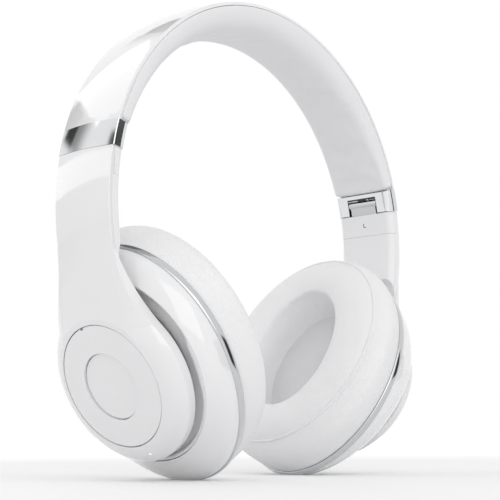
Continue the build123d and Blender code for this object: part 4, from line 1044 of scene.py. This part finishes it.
class HEADPHONES_OT_cushions(bpy.types.Operator):
    """Make both ear cushions with their seams, the chrome rings and the speaker cloths"""
    bl_idname = "headphones.cushions"
    bl_label = "Ear cushions"

    def execute(self, context):
        for side in "RL":
            make_cushion(side)
            make_ring(side)
            make_speaker_cloth(side)
        return {"FINISHED"}


class HEADPHONES_OT_necks(bpy.types.Operator):
    """Make the two necks between arm and cup, the beads round the lips and the side letters"""
    bl_idname = "headphones.necks"
    bl_label = "Necks"

    def execute(self, context):
        for side in "RL":
            make_neck(side)
            make_letter(side)
        return {"FINISHED"}


class HEADPHONES_OT_padding(bpy.types.Operator):
    """Make the padding inside the headband"""
    bl_idname = "headphones.padding"
    bl_label = "Headband padding"

    def execute(self, context):
        make_padding()
        return {"FINISHED"}


class HEADPHONES_OT_stage(bpy.types.Operator):
    """Set up the floor, the room light, the lamps and the camera"""
    bl_idname = "headphones.stage"
    bl_label = "Stage"

    def execute(self, context):
        stage = context.scene.headphone_stage
        context.scene.view_settings.view_transform = "Standard"
        make_floor()
        make_world()
        lamp("front", (-0.72, -1.48, 0.95), (0, 0, 0.09), (2.2, 1.5), stage.key)
        lamp("back", (-0.38, 0.95, 1.22), (0, 0, 0.12), (1.0, 0.58), stage.back)
        lamp("side", (-1.04, 1.16, 0.64), (-0.07, 0, 0.1), (1.5, 0.3), stage.side, 11.0)
        lamp("rim", (0.42, 1.42, 0.5), (0, 0, 0.09), (0.6, 0.4), stage.rim)
        make_camera()
        return {"FINISHED"}


class HEADPHONES_PT_panel(bpy.types.Panel):
    """Sidebar panel with every operator and setting"""
    bl_idname = "HEADPHONES_PT_panel"
    bl_label = "Headphones"
    bl_space_type = "VIEW_3D"
    bl_region_type = "UI"
    bl_category = "Headphones"

    def draw(self, context):
        layout = self.layout
        for operator in OPERATORS:
            layout.operator(operator.bl_idname)
        for name, _ in SETTINGS:
            group = getattr(context.scene, name)
            box = layout.box()
            for key in group.__annotations__:
                box.prop(group, key)


SETTINGS = (("headphone_colours", HeadphoneColours), ("headphone_cushions", HeadphoneCushions),
            ("headphone_padding", HeadphonePadding), ("headphone_stage", HeadphoneStage))
OPERATORS = (HEADPHONES_OT_finishes, HEADPHONES_OT_cushions, HEADPHONES_OT_necks,
             HEADPHONES_OT_padding, HEADPHONES_OT_stage)


def register():
    """Register settings, operators and panel, and hang the settings on the scene."""
    for _, group in SETTINGS:
        bpy.utils.register_class(group)
    for operator in OPERATORS:
        bpy.utils.register_class(operator)
    bpy.utils.register_class(HEADPHONES_PT_panel)
    for name, group in SETTINGS:
        setattr(bpy.types.Scene, name, PointerProperty(type=group))


def unregister():
    """Take away again what register added."""
    for name, _ in SETTINGS:
        delattr(bpy.types.Scene, name)
    bpy.utils.unregister_class(HEADPHONES_PT_panel)
    for operator in OPERATORS[::-1]:
        bpy.utils.unregister_class(operator)
    for _, group in SETTINGS[::-1]:
        bpy.utils.unregister_class(group)


def main():
    """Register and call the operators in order."""
    register()
    bpy.ops.headphones.finishes()
    bpy.ops.headphones.cushions()
    bpy.ops.headphones.necks()
    bpy.ops.headphones.padding()
    bpy.ops.headphones.stage()


if __name__ == "__main__":
    main()
